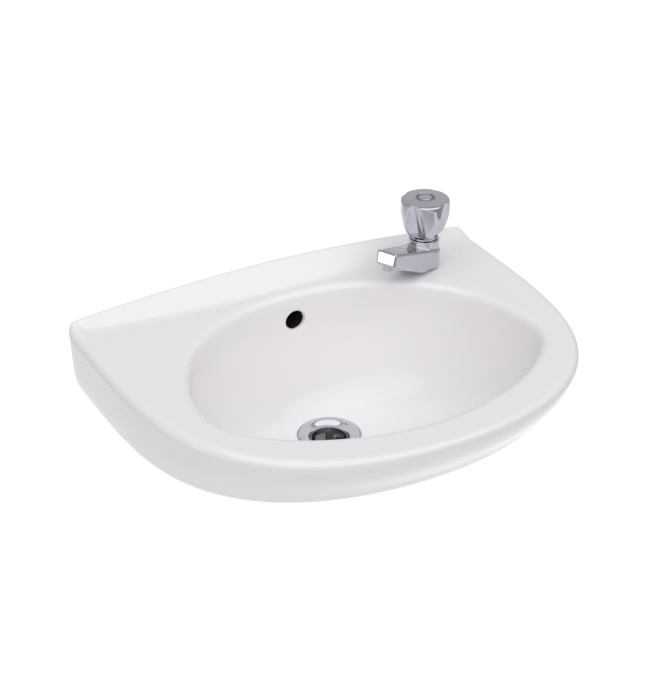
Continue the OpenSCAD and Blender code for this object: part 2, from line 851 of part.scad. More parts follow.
module outlet_ring() {
    color("silver")
        at_outlet()
            difference() {
                cylinder(h = outlet_seat - 0.3, d = outlet_d);
                translate([0, 0, -1])
                    cylinder(h = outlet_seat + 1, d = outlet_d - 2 * outlet_t);
                translate([0, 0, -0.01])
                    cylinder(h = 0.8, d1 = outlet_d - 2 * outlet_t + 1.6, d2 = outlet_d - 2 * outlet_t);
            }
}

module flow_straightener() {
    inner_d = outlet_d - 2 * outlet_t - 2 * insert_gap;
    hole_d = inner_d * 0.24;
    color("white")
        at_outlet()
            translate([0, 0, 1])
                difference() {
                    cylinder(h = straightener_h, d = inner_d);
                    translate([0, 0, -1])
                        cylinder(h = straightener_h + 2, d = hole_d);
                    for (a = [0 : 60 : 300])
                        rotate(a)
                            translate([inner_d * 0.32, 0, -1])
                                cylinder(h = straightener_h + 2, d = hole_d);
                }
}

// places a waste piece: z = 0 is the china seat under the flange
module at_waste() {
    translate([0, -waste_y, rim_h + waste_seat_z])
        children();
}

// the flange rises to a crown, and dishes down from it into the bore
crown_r = flange_d / 2 - 3.5;
// the slots start inside the bore, clear of the crossbars
slot_in = 12;
waste_nut_z = -boss_t - under_seal_t - friction_t - waste_nut_t;
flange_edge = 0.8;
crown_z = flange_t - flange_edge + flange_crown;

module waste_body() {
    color("silver")
        at_waste()
            difference() {
                union() {
                    translate([0, 0, top_seal_t])
                        rotate_extrude()
                            polygon(concat(
                                [[0, 0], [flange_d / 2, 0], [flange_d / 2, flange_t - flange_edge]],
                                [for (k = [0 : 6])
                                    let (a = 15 * k)
                                    [mix(crown_r, flange_d / 2, cos(a)), crown_z - flange_crown * (1 - sin(a))]],
                                [[0, crown_z]]));
                    translate([0, 0, top_seal_t - waste_l])
                        tail(waste_tail_d, waste_l + 0.5);
                }
                translate([0, 0, waste_nut_z - groove])
                    ring(flange_d, waste_tail_d - 2 * groove_deep, groove);
                translate([0, 0, top_seal_t - waste_l - 1])
                    cylinder(h = waste_l - cross_deep - cross_t + 1, d = waste_bore_d);
                translate([0, 0, top_seal_t - cross_deep])
                    cylinder(h = cross_deep + 10, d = waste_bore_d);
                translate([0, 0, top_seal_t])
                    rotate_extrude()
                        polygon(concat(
                            [[0, crown_z + 1], [crown_r, crown_z + 1]],
                            [for (k = [0 : 8])
                                let (a = 90 * k / 8)
                                [mix(crown_r, waste_bore_d / 2, sin(a)),
                                    mix(crown_z, -throat_deep, 1 - cos(a))]],
                            [[0, -throat_deep]]));
                translate([0, 0, top_seal_t - cross_deep - cross_t - 1])
                    difference() {
                        cylinder(h = cross_t + 2, d = waste_bore_d);
                        for (a = [45, 135])
                            rotate(a)
                                translate([-waste_bore_d / 2, -cross_t / 2, 0])
                                    cube([waste_bore_d, cross_t, cross_t + 2]);
                    }
                // overflow slots, front and back
                for (a = [0, 180])
                    rotate(a)
                        translate([0, slot_in + slot_w / 2, channel_z - waste_seat_z])
                            cube([slot_w, slot_w, slot_h], center = true);
            }
}

module waste_top_seal() {
    color("dimgray")
        at_waste()
            ring(flange_d - 2, waste_hole_d, top_seal_t);
}

module waste_under_seal() {
    color("dimgray")
        at_waste()
            translate([0, 0, -boss_t - under_seal_t])
                ring(under_seal_d, waste_tail_d + 2 * washer_gap, under_seal_t);
}

module waste_friction_washer() {
    color("gainsboro")
        at_waste()
            translate([0, 0, -boss_t - under_seal_t - friction_t])
                ring(under_seal_d - 2, waste_tail_d + 2 * washer_gap, friction_t);
}

module waste_backnut() {
    color("goldenrod")
        at_waste()
            translate([0, 0, waste_nut_z])
                difference() {
                    hexagon(waste_nut_flats, waste_nut_t);
                    translate([0, 0, -1])
                        cylinder(h = waste_nut_t + 2, d = waste_tail_d + 2 * thread_gap);
                }
}

basin_body();
tap_body();
tap_base_seal();
tap_washer();
tap_backnut();
headgear_body();
headgear_seal();
spindle();
spindle_o_rings();
spindle_clip();
jumper();
jumper_washer();
jumper_screw();
tap_handle();
handle_screw();
indice_disc();
outlet_ring();
flow_straightener();
waste_body();
waste_top_seal();
waste_under_seal();
waste_friction_washer();
waste_backnut();
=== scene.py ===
import math

import bmesh
import bpy
import numpy as np
from mathutils import Matrix, Vector
from mathutils.bvhtree import BVHTree


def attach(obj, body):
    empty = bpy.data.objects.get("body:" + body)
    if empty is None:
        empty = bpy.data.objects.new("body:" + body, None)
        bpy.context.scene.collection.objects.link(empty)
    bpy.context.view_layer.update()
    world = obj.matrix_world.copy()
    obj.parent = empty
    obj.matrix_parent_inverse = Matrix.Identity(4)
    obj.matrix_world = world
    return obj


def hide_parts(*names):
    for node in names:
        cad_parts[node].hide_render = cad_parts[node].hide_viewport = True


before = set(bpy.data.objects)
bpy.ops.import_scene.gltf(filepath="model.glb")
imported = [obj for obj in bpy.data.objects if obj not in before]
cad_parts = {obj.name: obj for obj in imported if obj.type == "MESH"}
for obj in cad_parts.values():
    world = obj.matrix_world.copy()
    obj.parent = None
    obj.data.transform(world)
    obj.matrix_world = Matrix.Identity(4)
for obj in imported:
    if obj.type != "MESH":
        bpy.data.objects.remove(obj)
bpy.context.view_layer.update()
print("washbasin: frame loaded,", len(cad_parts), "nodes")

# the pieces are sized in millimetres, at the same places as in the frame, and the studio in metres
mm = 0.001


# small helpers
def mix(a, b, t):
    return a * (1 - t) + b * t


def ease(t):
    u = min(1, max(0, t))
    return u * u * (3 - 2 * u)


def sinDeg(a):
    return math.sin(math.radians(a))


def cosDeg(a):
    return math.cos(math.radians(a))


def addObject(name, data):
    thing = bpy.data.objects.new(name, data)
    bpy.context.scene.collection.objects.link(thing)
    return thing


def meshPiece(name, corners, faces, smoothAngle):
    # corners in millimetres, and an edge sharper than smoothAngle stays sharp
    weld, sliver = 1e-7, 1e-8   # in metres
    mesh = bpy.data.meshes.new(name)
    mesh.from_pydata([tuple(c) for c in np.asarray(corners, float) * mm], [], faces)
    shape = bmesh.new()
    shape.from_mesh(mesh)
    bmesh.ops.remove_doubles(shape, verts=shape.verts, dist=weld)
    bmesh.ops.dissolve_degenerate(shape, edges=shape.edges, dist=sliver)
    bmesh.ops.recalc_face_normals(shape, faces=shape.faces)
    shape.to_mesh(mesh)
    shape.free()
    mesh.shade_smooth()
    mesh.set_sharp_from_angle(angle=math.radians(smoothAngle))
    mesh.update()
    return addObject(name, mesh)


def place(piece, body, slot, finish, *nodes):
    piece.data.materials.clear()
    piece.data.materials.append(finish)
    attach(piece, body)
    if nodes:
        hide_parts(*nodes)


def softened(outline, radius, steps=5):
    # rounds each corner of a closed outline, by one radius or by one for each corner
    sharpest, flattest = 0.05, 1.5   # half angles past which a corner stays as it is
    longest = 0.45                   # share of a side that the rounding of one corner may take
    count = len(outline)
    radii = [radius] * count if isinstance(radius, (int, float)) else radius
    rounded = []
    for k in range(count):
        before, here, after = (np.array(outline[(k + j) % count], float) for j in (-1, 0, 1))
        a, b = before - here, after - here
        la, lb = np.linalg.norm(a), np.linalg.norm(b)
        a, b = a / la, b / lb
        half = math.acos(max(-1, min(1, float(a @ b)))) / 2
        if radii[k] <= 0 or not sharpest <= half <= flattest:
            rounded.append(tuple(here))
            continue
        run = min(radii[k] / math.tan(half), longest * la, longest * lb)
        r = run * math.tan(half)
        middle = here + (a + b) / np.linalg.norm(a + b) * r / math.sin(half)
        start, end = here + a * run - middle, here + b * run - middle
        turn = math.acos(max(-1, min(1, float(start @ end) / r ** 2)))
        for j in range(steps + 1):
            t = j / steps
            p = (math.sin((1 - t) * turn) * start + math.sin(t * turn) * end) / math.sin(turn)
            rounded.append(tuple(middle + p))
    return rounded


def turned(name, outline, centre, sides=128):
    # a lathe piece from a closed outline of (radius, height)
    sides = sides
    corners, faces = [], []
    count = len(outline)
    for k in range(sides):
        a = 2 * math.pi * k / sides
        for r, z in outline:
            corners.append((centre[0] + r * math.cos(a), centre[1] + r * math.sin(a), centre[2] + z))
    for k in range(sides):
        for j in range(count):
            a, b = k * count + j, k * count + (j + 1) % count
            c, d = (k + 1) % sides * count + (j + 1) % count, (k + 1) % sides * count + j
            faces.append((a, b, c, d))
    return meshPiece(name, corners, faces, 40)


def gridFaces(cols, rows, wrapRows=True):
    # faces of a grid whose columns close on themselves, and its rows too where wrapRows says so
    i, k = np.meshgrid(np.arange(cols), np.arange(rows if wrapRows else rows - 1), indexing="ij")
    j, n = (i + 1) % cols, (k + 1) % rows
    return np.stack([i * rows + k, i * rows + n, j * rows + n, j * rows + k], -1).reshape(-1, 4).tolist()


def smoothMax(a, b, k):
    # the larger of two fields, rounded over k where they meet
    h = np.maximum(k - np.abs(a - b), 0) / k
    return np.maximum(a, b) + h * h * k / 4


def smoothMin(a, b, k):
    return -smoothMax(-a, -b, k)


def slopeOf(field, p, step=0.02):
    g = np.empty_like(p)
    for axis in range(3):
        d = np.zeros(3)
        d[axis] = step
        g[:, axis] = (field(p + d) - field(p - d)) / (2 * step)
    return g


def skinned(name, field, low, high, cell, toWorld):
    # a skin where the field changes sign: one corner in each crossed cell, then drawn onto the surface
    drawSteps, leastSlope, longestMove = 5, 0.05, 0.5
    cell = cell
    low, high = np.array(low, float), np.array(high, float)
    size = np.ceil((high - low) / cell).astype(int) + 1
    axes = [low[a] + cell * np.arange(size[a]) for a in range(3)]
    value = field(np.stack(np.meshgrid(*axes, indexing="ij"), -1).reshape(-1, 3)).reshape(size)
    inside = value < 0
    filled = sum(inside[x:size[0] - 1 + x, y:size[1] - 1 + y, z:size[2] - 1 + z].astype(int)
                 for x in (0, 1) for y in (0, 1) for z in (0, 1))
    crossed = (filled > 0) & (filled < 8)
    number = -np.ones(crossed.shape, int)
    number[crossed] = np.arange(crossed.sum())
    cells = np.argwhere(crossed)
    total, hits = np.zeros((len(cells), 3)), np.zeros(len(cells))
    unit = np.eye(3, dtype=int)
    quads = []
    for axis in range(3):
        b, c = unit[(axis + 1) % 3], unit[(axis + 2) % 3]
        for s in (0, 1):
            for t in (0, 1):
                p = cells + s * b + t * c
                vp, vq = value[tuple(p.T)], value[tuple((p + unit[axis]).T)]
                cuts = (vp < 0) != (vq < 0)
                share = vp[cuts] / (vp[cuts] - vq[cuts])
                total[cuts] += p[cuts] + share[:, None] * unit[axis]
                hits[cuts] += 1
        front = np.take(inside, range(size[axis] - 1), axis)
        back = np.take(inside, range(1, size[axis]), axis)
        p = np.argwhere(front != back)
        ring = np.stack([number[tuple(q.T)] for q in (p, p - b, p - b - c, p - c)], -1)
        flip = front[tuple(p.T)]
        ring[flip] = ring[flip][:, ::-1]
        quads.append(ring)
    p = low + cell * total / hits[:, None]
    for _ in range(drawSteps):
        g = slopeOf(field, p)
        move = field(p)[:, None] * g / np.maximum((g * g).sum(1), leastSlope)[:, None]
        p -= np.clip(move, -longestMove * cell, longestMove * cell)
    faces = np.concatenate(quads).tolist()
    piece = meshPiece(name, toWorld(p), faces, 180)
    print("  ", name, len(piece.data.polygons), "faces")
    return piece


def cutBy(piece, cutter, keepFinish=False):
    cut = piece.modifiers.new("cut", "BOOLEAN")
    cut.operation, cut.solver, cut.object = "DIFFERENCE", "EXACT", cutter
    if keepFinish:
        cut.material_mode = "TRANSFER"
    bpy.context.view_layer.update()
    done = bpy.data.meshes.new_from_object(piece.evaluated_get(bpy.context.evaluated_depsgraph_get()))
    piece.modifiers.clear()
    piece.data = done
    bpy.data.objects.remove(cutter)


# finishes
def newFinish(name, **values):
    finish = bpy.data.materials.new(name)
    finish.use_nodes = True
    shader = finish.node_tree.nodes["Principled BSDF"]
    for socket, value in values.items():
        shader.inputs[socket.replace("_", " ")].default_value = value
    return finish, finish.node_tree, shader


def addNode(tree, kind, **values):
    node = tree.nodes.new(kind)
    for key, value in values.items():
        if key in node.inputs:
            node.inputs[key].default_value = value
        else:
            setattr(node, key, value)
    return node


def pointsOf(tree, scale=(1, 1, 1)):
    # object coordinates, which stay with the piece
    where = addNode(tree, "ShaderNodeTexCoord")
    stretch = addNode(tree, "ShaderNodeMapping")
    stretch.inputs["Scale"].default_value = scale
    tree.links.new(where.outputs["Object"], stretch.inputs["Vector"])
    return stretch.outputs["Vector"]


def noiseOf(tree, where, scale, detail, roughness):
    node = addNode(tree, "ShaderNodeTexNoise", Scale=scale, Detail=detail, Roughness=roughness)
    tree.links.new(where, node.inputs["Vector"])
    return node.outputs["Fac"]


def rangeOf(tree, value, low, high, fromLow=0.3, fromHigh=0.7):
    # a value between fromLow and fromHigh becomes one between low and high
    node = addNode(tree, "ShaderNodeMapRange")
    for key, number in (("From Min", fromLow), ("From Max", fromHigh), ("To Min", low), ("To Max", high)):
        node.inputs[key].default_value = number
    tree.links.new(value, node.inputs["Value"])
    return node.outputs["Result"]


def tintOf(tree, value, stops):
    # a colour that runs through the stops, each a place and a tint
    ramp = addNode(tree, "ShaderNodeValToRGB")
    band = ramp.color_ramp
    while len(band.elements) < len(stops):
        band.elements.new(0.5)
    for element, (at, tint) in zip(band.elements, stops):
        element.position = at
        element.color = (*tint, 1)
    tree.links.new(value, ramp.inputs["Fac"])
    return ramp.outputs["Color"]


def bumpOf(tree, shader, value, strength, distance, after=None):
    bump = addNode(tree, "ShaderNodeBump", Strength=strength, Distance=distance)
    tree.links.new(value, bump.inputs["Height"])
    if after is not None:
        tree.links.new(after, bump.inputs["Normal"])
    tree.links.new(bump.outputs["Normal"], shader.inputs["Normal"])
    return bump.outputs["Normal"]


def glazeFinish():
    glaze = {"light": (0.935, 0.917, 0.938), "warm": (0.94, 0.918, 0.928), "gloss": (0.12, 0.22),
             "coat": 0.35, "coatGloss": 0.08, "cloud": 7, "breath": 38, "wave": 26, "peel": 900}
    finish, tree, shader = newFinish("whiteGlaze", IOR=1.5, Coat_Weight=glaze["coat"],
                                     Coat_Roughness=glaze["coatGloss"], Specular_IOR_Level=0.5)
    where = pointsOf(tree)
    cloud = noiseOf(tree, where, glaze["cloud"], 3, 0.5)
    tint = tintOf(tree, cloud, [(0.3, glaze["light"]), (0.75, glaze["warm"])])
    tree.links.new(tint, shader.inputs["Base Color"])
    breath = noiseOf(tree, where, glaze["breath"], 4, 0.6)
    tree.links.new(rangeOf(tree, breath, *glaze["gloss"]), shader.inputs["Roughness"])
    # the fired glaze lies in long, very shallow waves, with a fine orange-peel on top
    waves = bumpOf(tree, shader, noiseOf(tree, where, glaze["wave"], 2, 0.4), 0.25, 0.0006)
    bumpOf(tree, shader, noiseOf(tree, where, glaze["peel"], 2, 0.5), 0.06, 0.0001, waves)
    return finish


def rawClayOrPaintedShadeFinish(name, low, high):
    # fired clay without glaze, or near-black painted shade: two tints in a fine grain
    finish, tree, shader = newFinish(name, Roughness=0.85, Specular_IOR_Level=0.2)
    grain = noiseOf(tree, pointsOf(tree), 420, 5, 0.7)
    tree.links.new(tintOf(tree, grain, [(0.3, low), (0.7, high)]), shader.inputs["Base Color"])
    bumpOf(tree, shader, grain, 0.5, 0.0003)
    return finish


def chromeFinish():
    chrome = {"deep": (0.595, 0.58, 0.635), "bright": (0.65, 0.635, 0.69), "gloss": (0.05, 0.11),
              "cloud": 60, "smear": 240, "wave": 90, "scratch": 700, "scratchStretch": (1, 1, 14)}
    finish, tree, shader = newFinish("polishedChrome", Metallic=1.0)
    where = pointsOf(tree)
    cloud = noiseOf(tree, where, chrome["cloud"], 4, 0.6)
    tint = tintOf(tree, cloud, [(0.3, chrome["deep"]), (0.7, chrome["bright"])])
    tree.links.new(tint, shader.inputs["Base Color"])
    smear = noiseOf(tree, where, chrome["smear"], 5, 0.7)
    tree.links.new(rangeOf(tree, smear, *chrome["gloss"]), shader.inputs["Roughness"])
    # faint buffing waves and a few fine scratches
    waves = bumpOf(tree, shader, noiseOf(tree, where, chrome["wave"], 2, 0.4), 0.12, 0.0002)
    fine = noiseOf(tree, pointsOf(tree, chrome["scratchStretch"]), chrome["scratch"], 2, 0.6)
    bumpOf(tree, shader, fine, 0.04, 0.00005, waves)
    return finish


def latheFinish(name, bright, dull, rings):
    # a turned metal, brighter where it was touched
    finish, tree, shader = newFinish(name, Metallic=1.0)
    where = pointsOf(tree)
    cloud = noiseOf(tree, where, 130, 5, 0.65)
    tree.links.new(tintOf(tree, cloud, [(0.35, bright), (0.72, dull)]), shader.inputs["Base Color"])
    tree.links.new(rangeOf(tree, cloud, 0.2, 0.42), shader.inputs["Roughness"])
    # lathe marks run round the piece, so they are bands along its height
    marks = addNode(tree, "ShaderNodeTexWave", bands_direction="Z", Scale=rings, Distortion=1.5, Detail=2)
    tree.links.new(where, marks.inputs["Vector"])
    bumpOf(tree, shader, marks.outputs["Fac"], 0.12, 0.00005)
    return finish


def softFinish(name, low, high, roughness, grainScale, bump, sheen=0.0):
    # rubber, fibre and plastic: a tint that drifts, fine grain and a matt surface
    finish, tree, shader = newFinish(name, Roughness=roughness, Sheen_Weight=sheen)
    where = pointsOf(tree)
    cloud = noiseOf(tree, where, grainScale / 4, 4, 0.6)
    tree.links.new(tintOf(tree, cloud, [(0.3, low), (0.7, high)]), shader.inputs["Base Color"])
    tree.links.new(rangeOf(tree, cloud, roughness - 0.06, roughness + 0.08), shader.inputs["Roughness"])
    bumpOf(tree, shader, noiseOf(tree, where, grainScale, 4, 0.7), bump, 0.0002)
    return finish


whiteGlaze = glazeFinish()
unglazedClay = rawClayOrPaintedShadeFinish("unglazedClay", (0.60, 0.57, 0.53), (0.70, 0.675, 0.64))
# the overflow's tunnel is near-black: painted shade where light does not reach into the hole
tunnelPaintedShade = rawClayOrPaintedShadeFinish("overflowShadow", (0.012, 0.011, 0.011), (0.03, 0.028, 0.027))
polishedChrome = chromeFinish()
turnedBrass = latheFinish("turnedBrass", (0.72, 0.53, 0.25), (0.50, 0.35, 0.16), 1600)
clipSteel = latheFinish("springSteel", (0.56, 0.56, 0.58), (0.40, 0.40, 0.42), 900)
# the tail's satin plating is made darker as painted shade for the dark throat seen through the waste
platingAndThroatShade = latheFinish("platingAndThroatShade", (0.36, 0.355, 0.37), (0.24, 0.235, 0.245), 1600)
blackRubber = softFinish("blackRubber", (0.018, 0.018, 0.019), (0.035, 0.034, 0.034), 0.62, 1400, 0.35, 0.1)
darkFibre = softFinish("darkFibre", (0.028, 0.026, 0.024), (0.05, 0.046, 0.042), 0.7, 1600, 0.5, 0.15)
clearNylon = softFinish("palePlastic", (0.72, 0.72, 0.70), (0.80, 0.80, 0.78), 0.4, 500, 0.12)
whiteInsert = softFinish("whiteInsert", (0.70, 0.70, 0.70), (0.78, 0.78, 0.78), 0.35, 600, 0.1)
# the indice ring's dark tint is tinted plastic and also painted shade for the groove round the disc
ringTintAndGrooveShade = softFinish("indiceRing", (0.13, 0.12, 0.165), (0.17, 0.155, 0.21), 0.3, 800, 0.1)
print("washbasin: finishes made")


# the china basin
basin = {
    "width": 450, "depth": 345, "sidePower": 2.1, "frontPower": 4.2,
    "rimHeight": 35, "rimRound": 5, "rimRoundSide": 4,
    "upstandHeight": 19, "upstandEnd": 5, "upstandDepth": 33, "upstandLeast": 17, "upstandRound": 3,
    "upstandFoot": 205, "upstandCurve": 1.15, "footPower": 2.6, "topPower": 1.8,
    "apronHeight": 62, "apronLean": 37, "sideLean": 5.5, "wall": 12, "deck": 12,
    "apronShare": [0.03, 0.21, 0.55, 0.82, 1], "apronLevel": [0.19, 0.4, 0.65, 0.84, 1],
    "sideShare": [0.05, 0.15, 0.3, 0.5, 1.0],
    "bowlWidth": 349, "bowlMid": 203, "bowlFront": 106, "bowlBack": 160, "bowlDepth": 126,
    "bowlFrontPower": 1.7, "bowlBackPower": 2.8, "bowlWall": 10, "floorWall": 12,
    "mouthFrontPower": 1.87, "mouthBackPower": 2.08, "mouthEnds": 35, "lipRound": 8, "lipOut": 0.7,
    "wasteY": 116, "wasteHole": 45, "seatDrop": 2.5, "seatRadius": 31.4, "seatLip": 1.1,
    "bossThick": 26, "bossWidth": 74, "bossRound": 1, "channelWall": 26, "channelPower": 10,
    "pocketWaist": 0.55, "pocketWaistLevel": 0.6, "roofSide": 0.65, "roofFront": 0.2, "roofShare": 0.6,
    "overflowWidth": 20, "overflowDepth": 30.5, "overflowLip": 2.6,
    "tapX": 144, "tapY": 53, "tapHole": 26, "boltGap": 220, "boltHole": 14,
}
# columns run from the front round one side to the middle of the wall, and sideCols is the back corner
halfCols, sideCols, colCrowd, cornerCols = 48, 32, 1.3, 8
bowlRows, lipRows, deckRows, flatRows, edgeRows, pocketRows, underRows = 11, 4, 4, 2, 4, 4, 8
pocketFrom, pocketOpen, pocketEnd, pocketClosed = 13, 21, 41, 46   # columns
underStart = 38    # degrees down the bowl's outside, where a closed underside starts
chinaAngle = 38    # edges sharper than this many degrees stay sharp


def psi(i):
    # direction of column i seen from the bowl, in degrees, from -90 at the front to 90 at the wall
    return -90 + 180 * i / halfCols


def backShare(i):
    return (1 + sinDeg(psi(i))) / 2


def bowlPower(i):
    return 2 / mix(basin["bowlFrontPower"], basin["bowlBackPower"], backShare(i))


def channelShare(i):
    # 1 behind the bowl, where the overflow's channel runs down
    return max(0, sinDeg(psi(i))) ** basin["channelPower"]


def rimPoint(i, leanX, leanY, wallGap):
    # plan point of the rim in column i, leaning in by leanX at the side and leanY at the front
    if i > sideCols:
        return (basin["width"] / 2 - leanX) * (halfCols - i) / (halfCols - sideCols), -wallGap
    s = sinDeg(90 * (1 - (i / sideCols) ** colCrowd))
    x = max(0, 1 - s ** basin["frontPower"]) ** (1 / basin["sidePower"])
    return (basin["width"] / 2 - leanX) * x, -wallGap - (basin["depth"] - leanY - wallGap) * s


def bowlPoint(i, grow):
    # plan point of the bowl's opening, grown by so much
    a = psi(i)
    power = basin["mouthFrontPower"] if a < 0 else basin["mouthBackPower"]
    e = mix(1, 2 / power, ease(abs(a) / basin["mouthEnds"]))   # a plain ellipse at its left and right ends
    reach = -basin["bowlFront"] - grow if a < 0 else basin["bowlBack"] + grow
    return ((basin["bowlWidth"] / 2 + grow) * max(0, cosDeg(a)) ** e,
            -basin["bowlMid"] + reach * abs(sinDeg(a)) ** e)


def wastePoint(i, r):
    return r * cosDeg(psi(i)), -basin["wasteY"] + r * sinDeg(psi(i))


def blendPoint(a, b, t):
    return tuple(mix(p, q, t) for p, q in zip(a, b))


def upstandTop(x):
    share = 1 - min(1, abs(x) / (basin["width"] / 2)) ** basin["topPower"]
    return basin["upstandEnd"] + (basin["upstandHeight"] - basin["upstandEnd"]) * share


def upstandFootY(x):
    share = 1 - min(1, abs(x) / basin["upstandFoot"]) ** basin["footPower"]
    return -basin["upstandLeast"] - (basin["upstandDepth"] - basin["upstandLeast"]) * share


def lifted(p, z):
    # raises a point of the deck onto the upstand, where it lies behind the upstand's foot
    foot = upstandFootY(p[0])
    s = min(1, max(0, (p[1] - foot) / (-basin["upstandRound"] - foot)))
    return p[0], p[1], upstandTop(p[0]) * s ** basin["upstandCurve"] + z


def innerPoint(i, k):
    # the bowl, from the waste's seat up to its lip
    t = 90 * (1 - k / bowlRows)
    e = bowlPower(i)
    p = blendPoint(wastePoint(i, basin["seatRadius"] + basin["seatLip"]),
                   bowlPoint(i, (basin["lipOut"] - 1) * basin["lipRound"]), max(0, cosDeg(t)) ** e)
    return *p, mix(-basin["lipRound"], -basin["bowlDepth"], sinDeg(t) ** e)


def lipPoint(i, k):
    t = 90 * (1 - k / (lipRows - 1))
    r = basin["lipRound"]
    return *bowlPoint(i, r * (basin["lipOut"] - sinDeg(t))), -r * (1 - cosDeg(t))


def rimEdge(i, k):
    t = 90 * k / (edgeRows - 1)
    s, c = 1 - sinDeg(t), 1 - cosDeg(t)
    x = rimPoint(i, 0, 0, 0)[0]
    if i > sideCols:
        r = basin["upstandRound"]
        return x, -r * s, upstandTop(x) - r * c
    r = basin["rimRound"] + basin["rimRoundSide"] * (x / (basin["width"] / 2)) ** 2
    return lifted(rimPoint(i, r * s, r * s, basin["upstandRound"] * s), -r * c)


def deckPoint(i, k):
    # the first rows of the deck are flat, and the others lie behind the foot of the upstand
    lipEdge = basin["lipOut"] * basin["lipRound"]
    a, b = bowlPoint(i, lipEdge), rimEdge(i, 0)
    j = max(i, sideCols)
    c, d = bowlPoint(j, lipEdge), rimEdge(j, 0)
    f = (upstandFootY(d[0]) - c[1]) / (d[1] - c[1])
    f = (upstandFootY(mix(c[0], d[0], f)) - c[1]) / (d[1] - c[1])
    if k < flatRows:
        wallShare = f * (k + 1) / flatRows
    else:
        wallShare = mix(f, 1, (k + 1 - flatRows) / (deckRows + 1 - flatRows))
    evenShare = (k + 1) / (deckRows + 1)
    p = blendPoint(a, b[:2], mix(evenShare, wallShare, ease((i - sideCols + cornerCols) / cornerCols)))
    return (*p, 0) if k < flatRows else lifted(p, 0)


def apronPoint(i, k):
    leanX, leanY = basin["sideLean"] * basin["sideShare"][k], basin["apronLean"] * basin["apronShare"][k]
    return *rimPoint(i, leanX, leanY, 0), -basin["apronHeight"] * basin["apronLevel"][k]


def pocketShare(i):
    # 1 where the underside is open to the wall
    closing = ease((i - pocketEnd) / (pocketClosed - pocketEnd))
    return ease((i - pocketFrom) / (pocketOpen - pocketFrom)) * (1 - closing)


def bowlOutside(i):
    return bowlPoint(i, basin["bowlWall"] + basin["channelWall"] * channelShare(i))


def underPoint(i, t):
    # the outside of the bowl, t degrees down from the deck to the boss
    e = bowlPower(i)
    p = blendPoint(wastePoint(i, basin["bossWidth"] / 2), bowlOutside(i), max(0, cosDeg(t)) ** e)
    floor = mix(-basin["bowlDepth"] - basin["floorWall"], bossLevel + basin["bossRound"], channelShare(i))
    return *p, mix(-basin["deck"], floor, sinDeg(t) ** e)


def belowPoint(i, k):
    # from the apron's foot up into a pocket and over its roof, or straight on where there is no pocket
    if k >= pocketRows:
        return underPoint(i, mix(underStart * (1 - pocketShare(i)), 90, (k - pocketRows) / underRows))
    closed = blendPoint(apronPoint(i, -1), underPoint(i, underStart), (k + 1) / (pocketRows + 1))
    side, front, w = basin["sideLean"], basin["apronLean"], basin["wall"]
    roof = rimPoint(i, side * basin["roofSide"] + w, front * basin["roofFront"] + w, w)
    if k == 0:
        hollow = (*rimPoint(i, side + w, front + w, w), -basin["apronHeight"])
    elif k == 1:
        waist = rimPoint(i, side + w, front * basin["pocketWaist"] + w, w)
        hollow = (*waist, -basin["apronHeight"] * basin["pocketWaistLevel"])
    elif k == 2:
        hollow = lifted(roof, -basin["deck"])
    else:
        hollow = lifted(blendPoint(roof, bowlOutside(i), basin["roofShare"]), -basin["deck"])
    return blendPoint(closed, hollow, pocketShare(i))


seatLevel = -basin["bowlDepth"] - basin["seatDrop"]
bossLevel = seatLevel - basin["bossThick"]


def chinaColumn(i):
    hole, boss = basin["wasteHole"] / 2, basin["bossWidth"] / 2
    column = [(*wastePoint(i, hole), seatLevel), (*wastePoint(i, basin["seatRadius"]), seatLevel)]
    column += [innerPoint(i, k) for k in range(bowlRows)]
    column += [lipPoint(i, k) for k in range(lipRows)]
    column += [deckPoint(i, k) for k in range(deckRows)]
    column += [rimEdge(i, k) for k in range(edgeRows)]
    column += [apronPoint(i, k) for k in range(len(basin["apronShare"]))]
    column += [belowPoint(i, k) for k in range(pocketRows + underRows + 1)]
    column += [(*wastePoint(i, boss), bossLevel + basin["bossRound"]),
               (*wastePoint(i, boss - basin["bossRound"]), bossLevel), (*wastePoint(i, hole), bossLevel)]
    return column


def curveThrough(points, steps):
    # a smooth curve through the rows of every column, with so many steps from row to row
    gap = np.sqrt(np.maximum(np.linalg.norm(np.diff(points, axis=1), axis=2), 1e-4))[..., None]
    speed = np.diff(points, axis=1) / gap
    slope = np.empty_like(points)
    slope[:, 0], slope[:, -1] = speed[:, 0], speed[:, -1]
    slope[:, 1:-1] = (speed[:, :-1] * gap[:, 1:] + speed[:, 1:] * gap[:, :-1]) / (gap[:, 1:] + gap[:, :-1])
    rows = []
    for k in range(points.shape[1] - 1):
        a, b, g = points[:, k], points[:, k + 1], gap[:, k]
        straight = k in (0, points.shape[1] - 2)
        count = 1 if straight else steps
        for j in range(count):
            t = j / count
            h = ((1 + 2 * t) * (1 - t) ** 2, t * (1 - t) ** 2, t * t * (3 - 2 * t), t * t * (t - 1))
            rows.append(h[0] * a + h[1] * g * slope[:, k] + h[2] * b + h[3] * g * slope[:, k + 1])
    rows.append(points[:, -1])
    return np.stack(rows, 1)


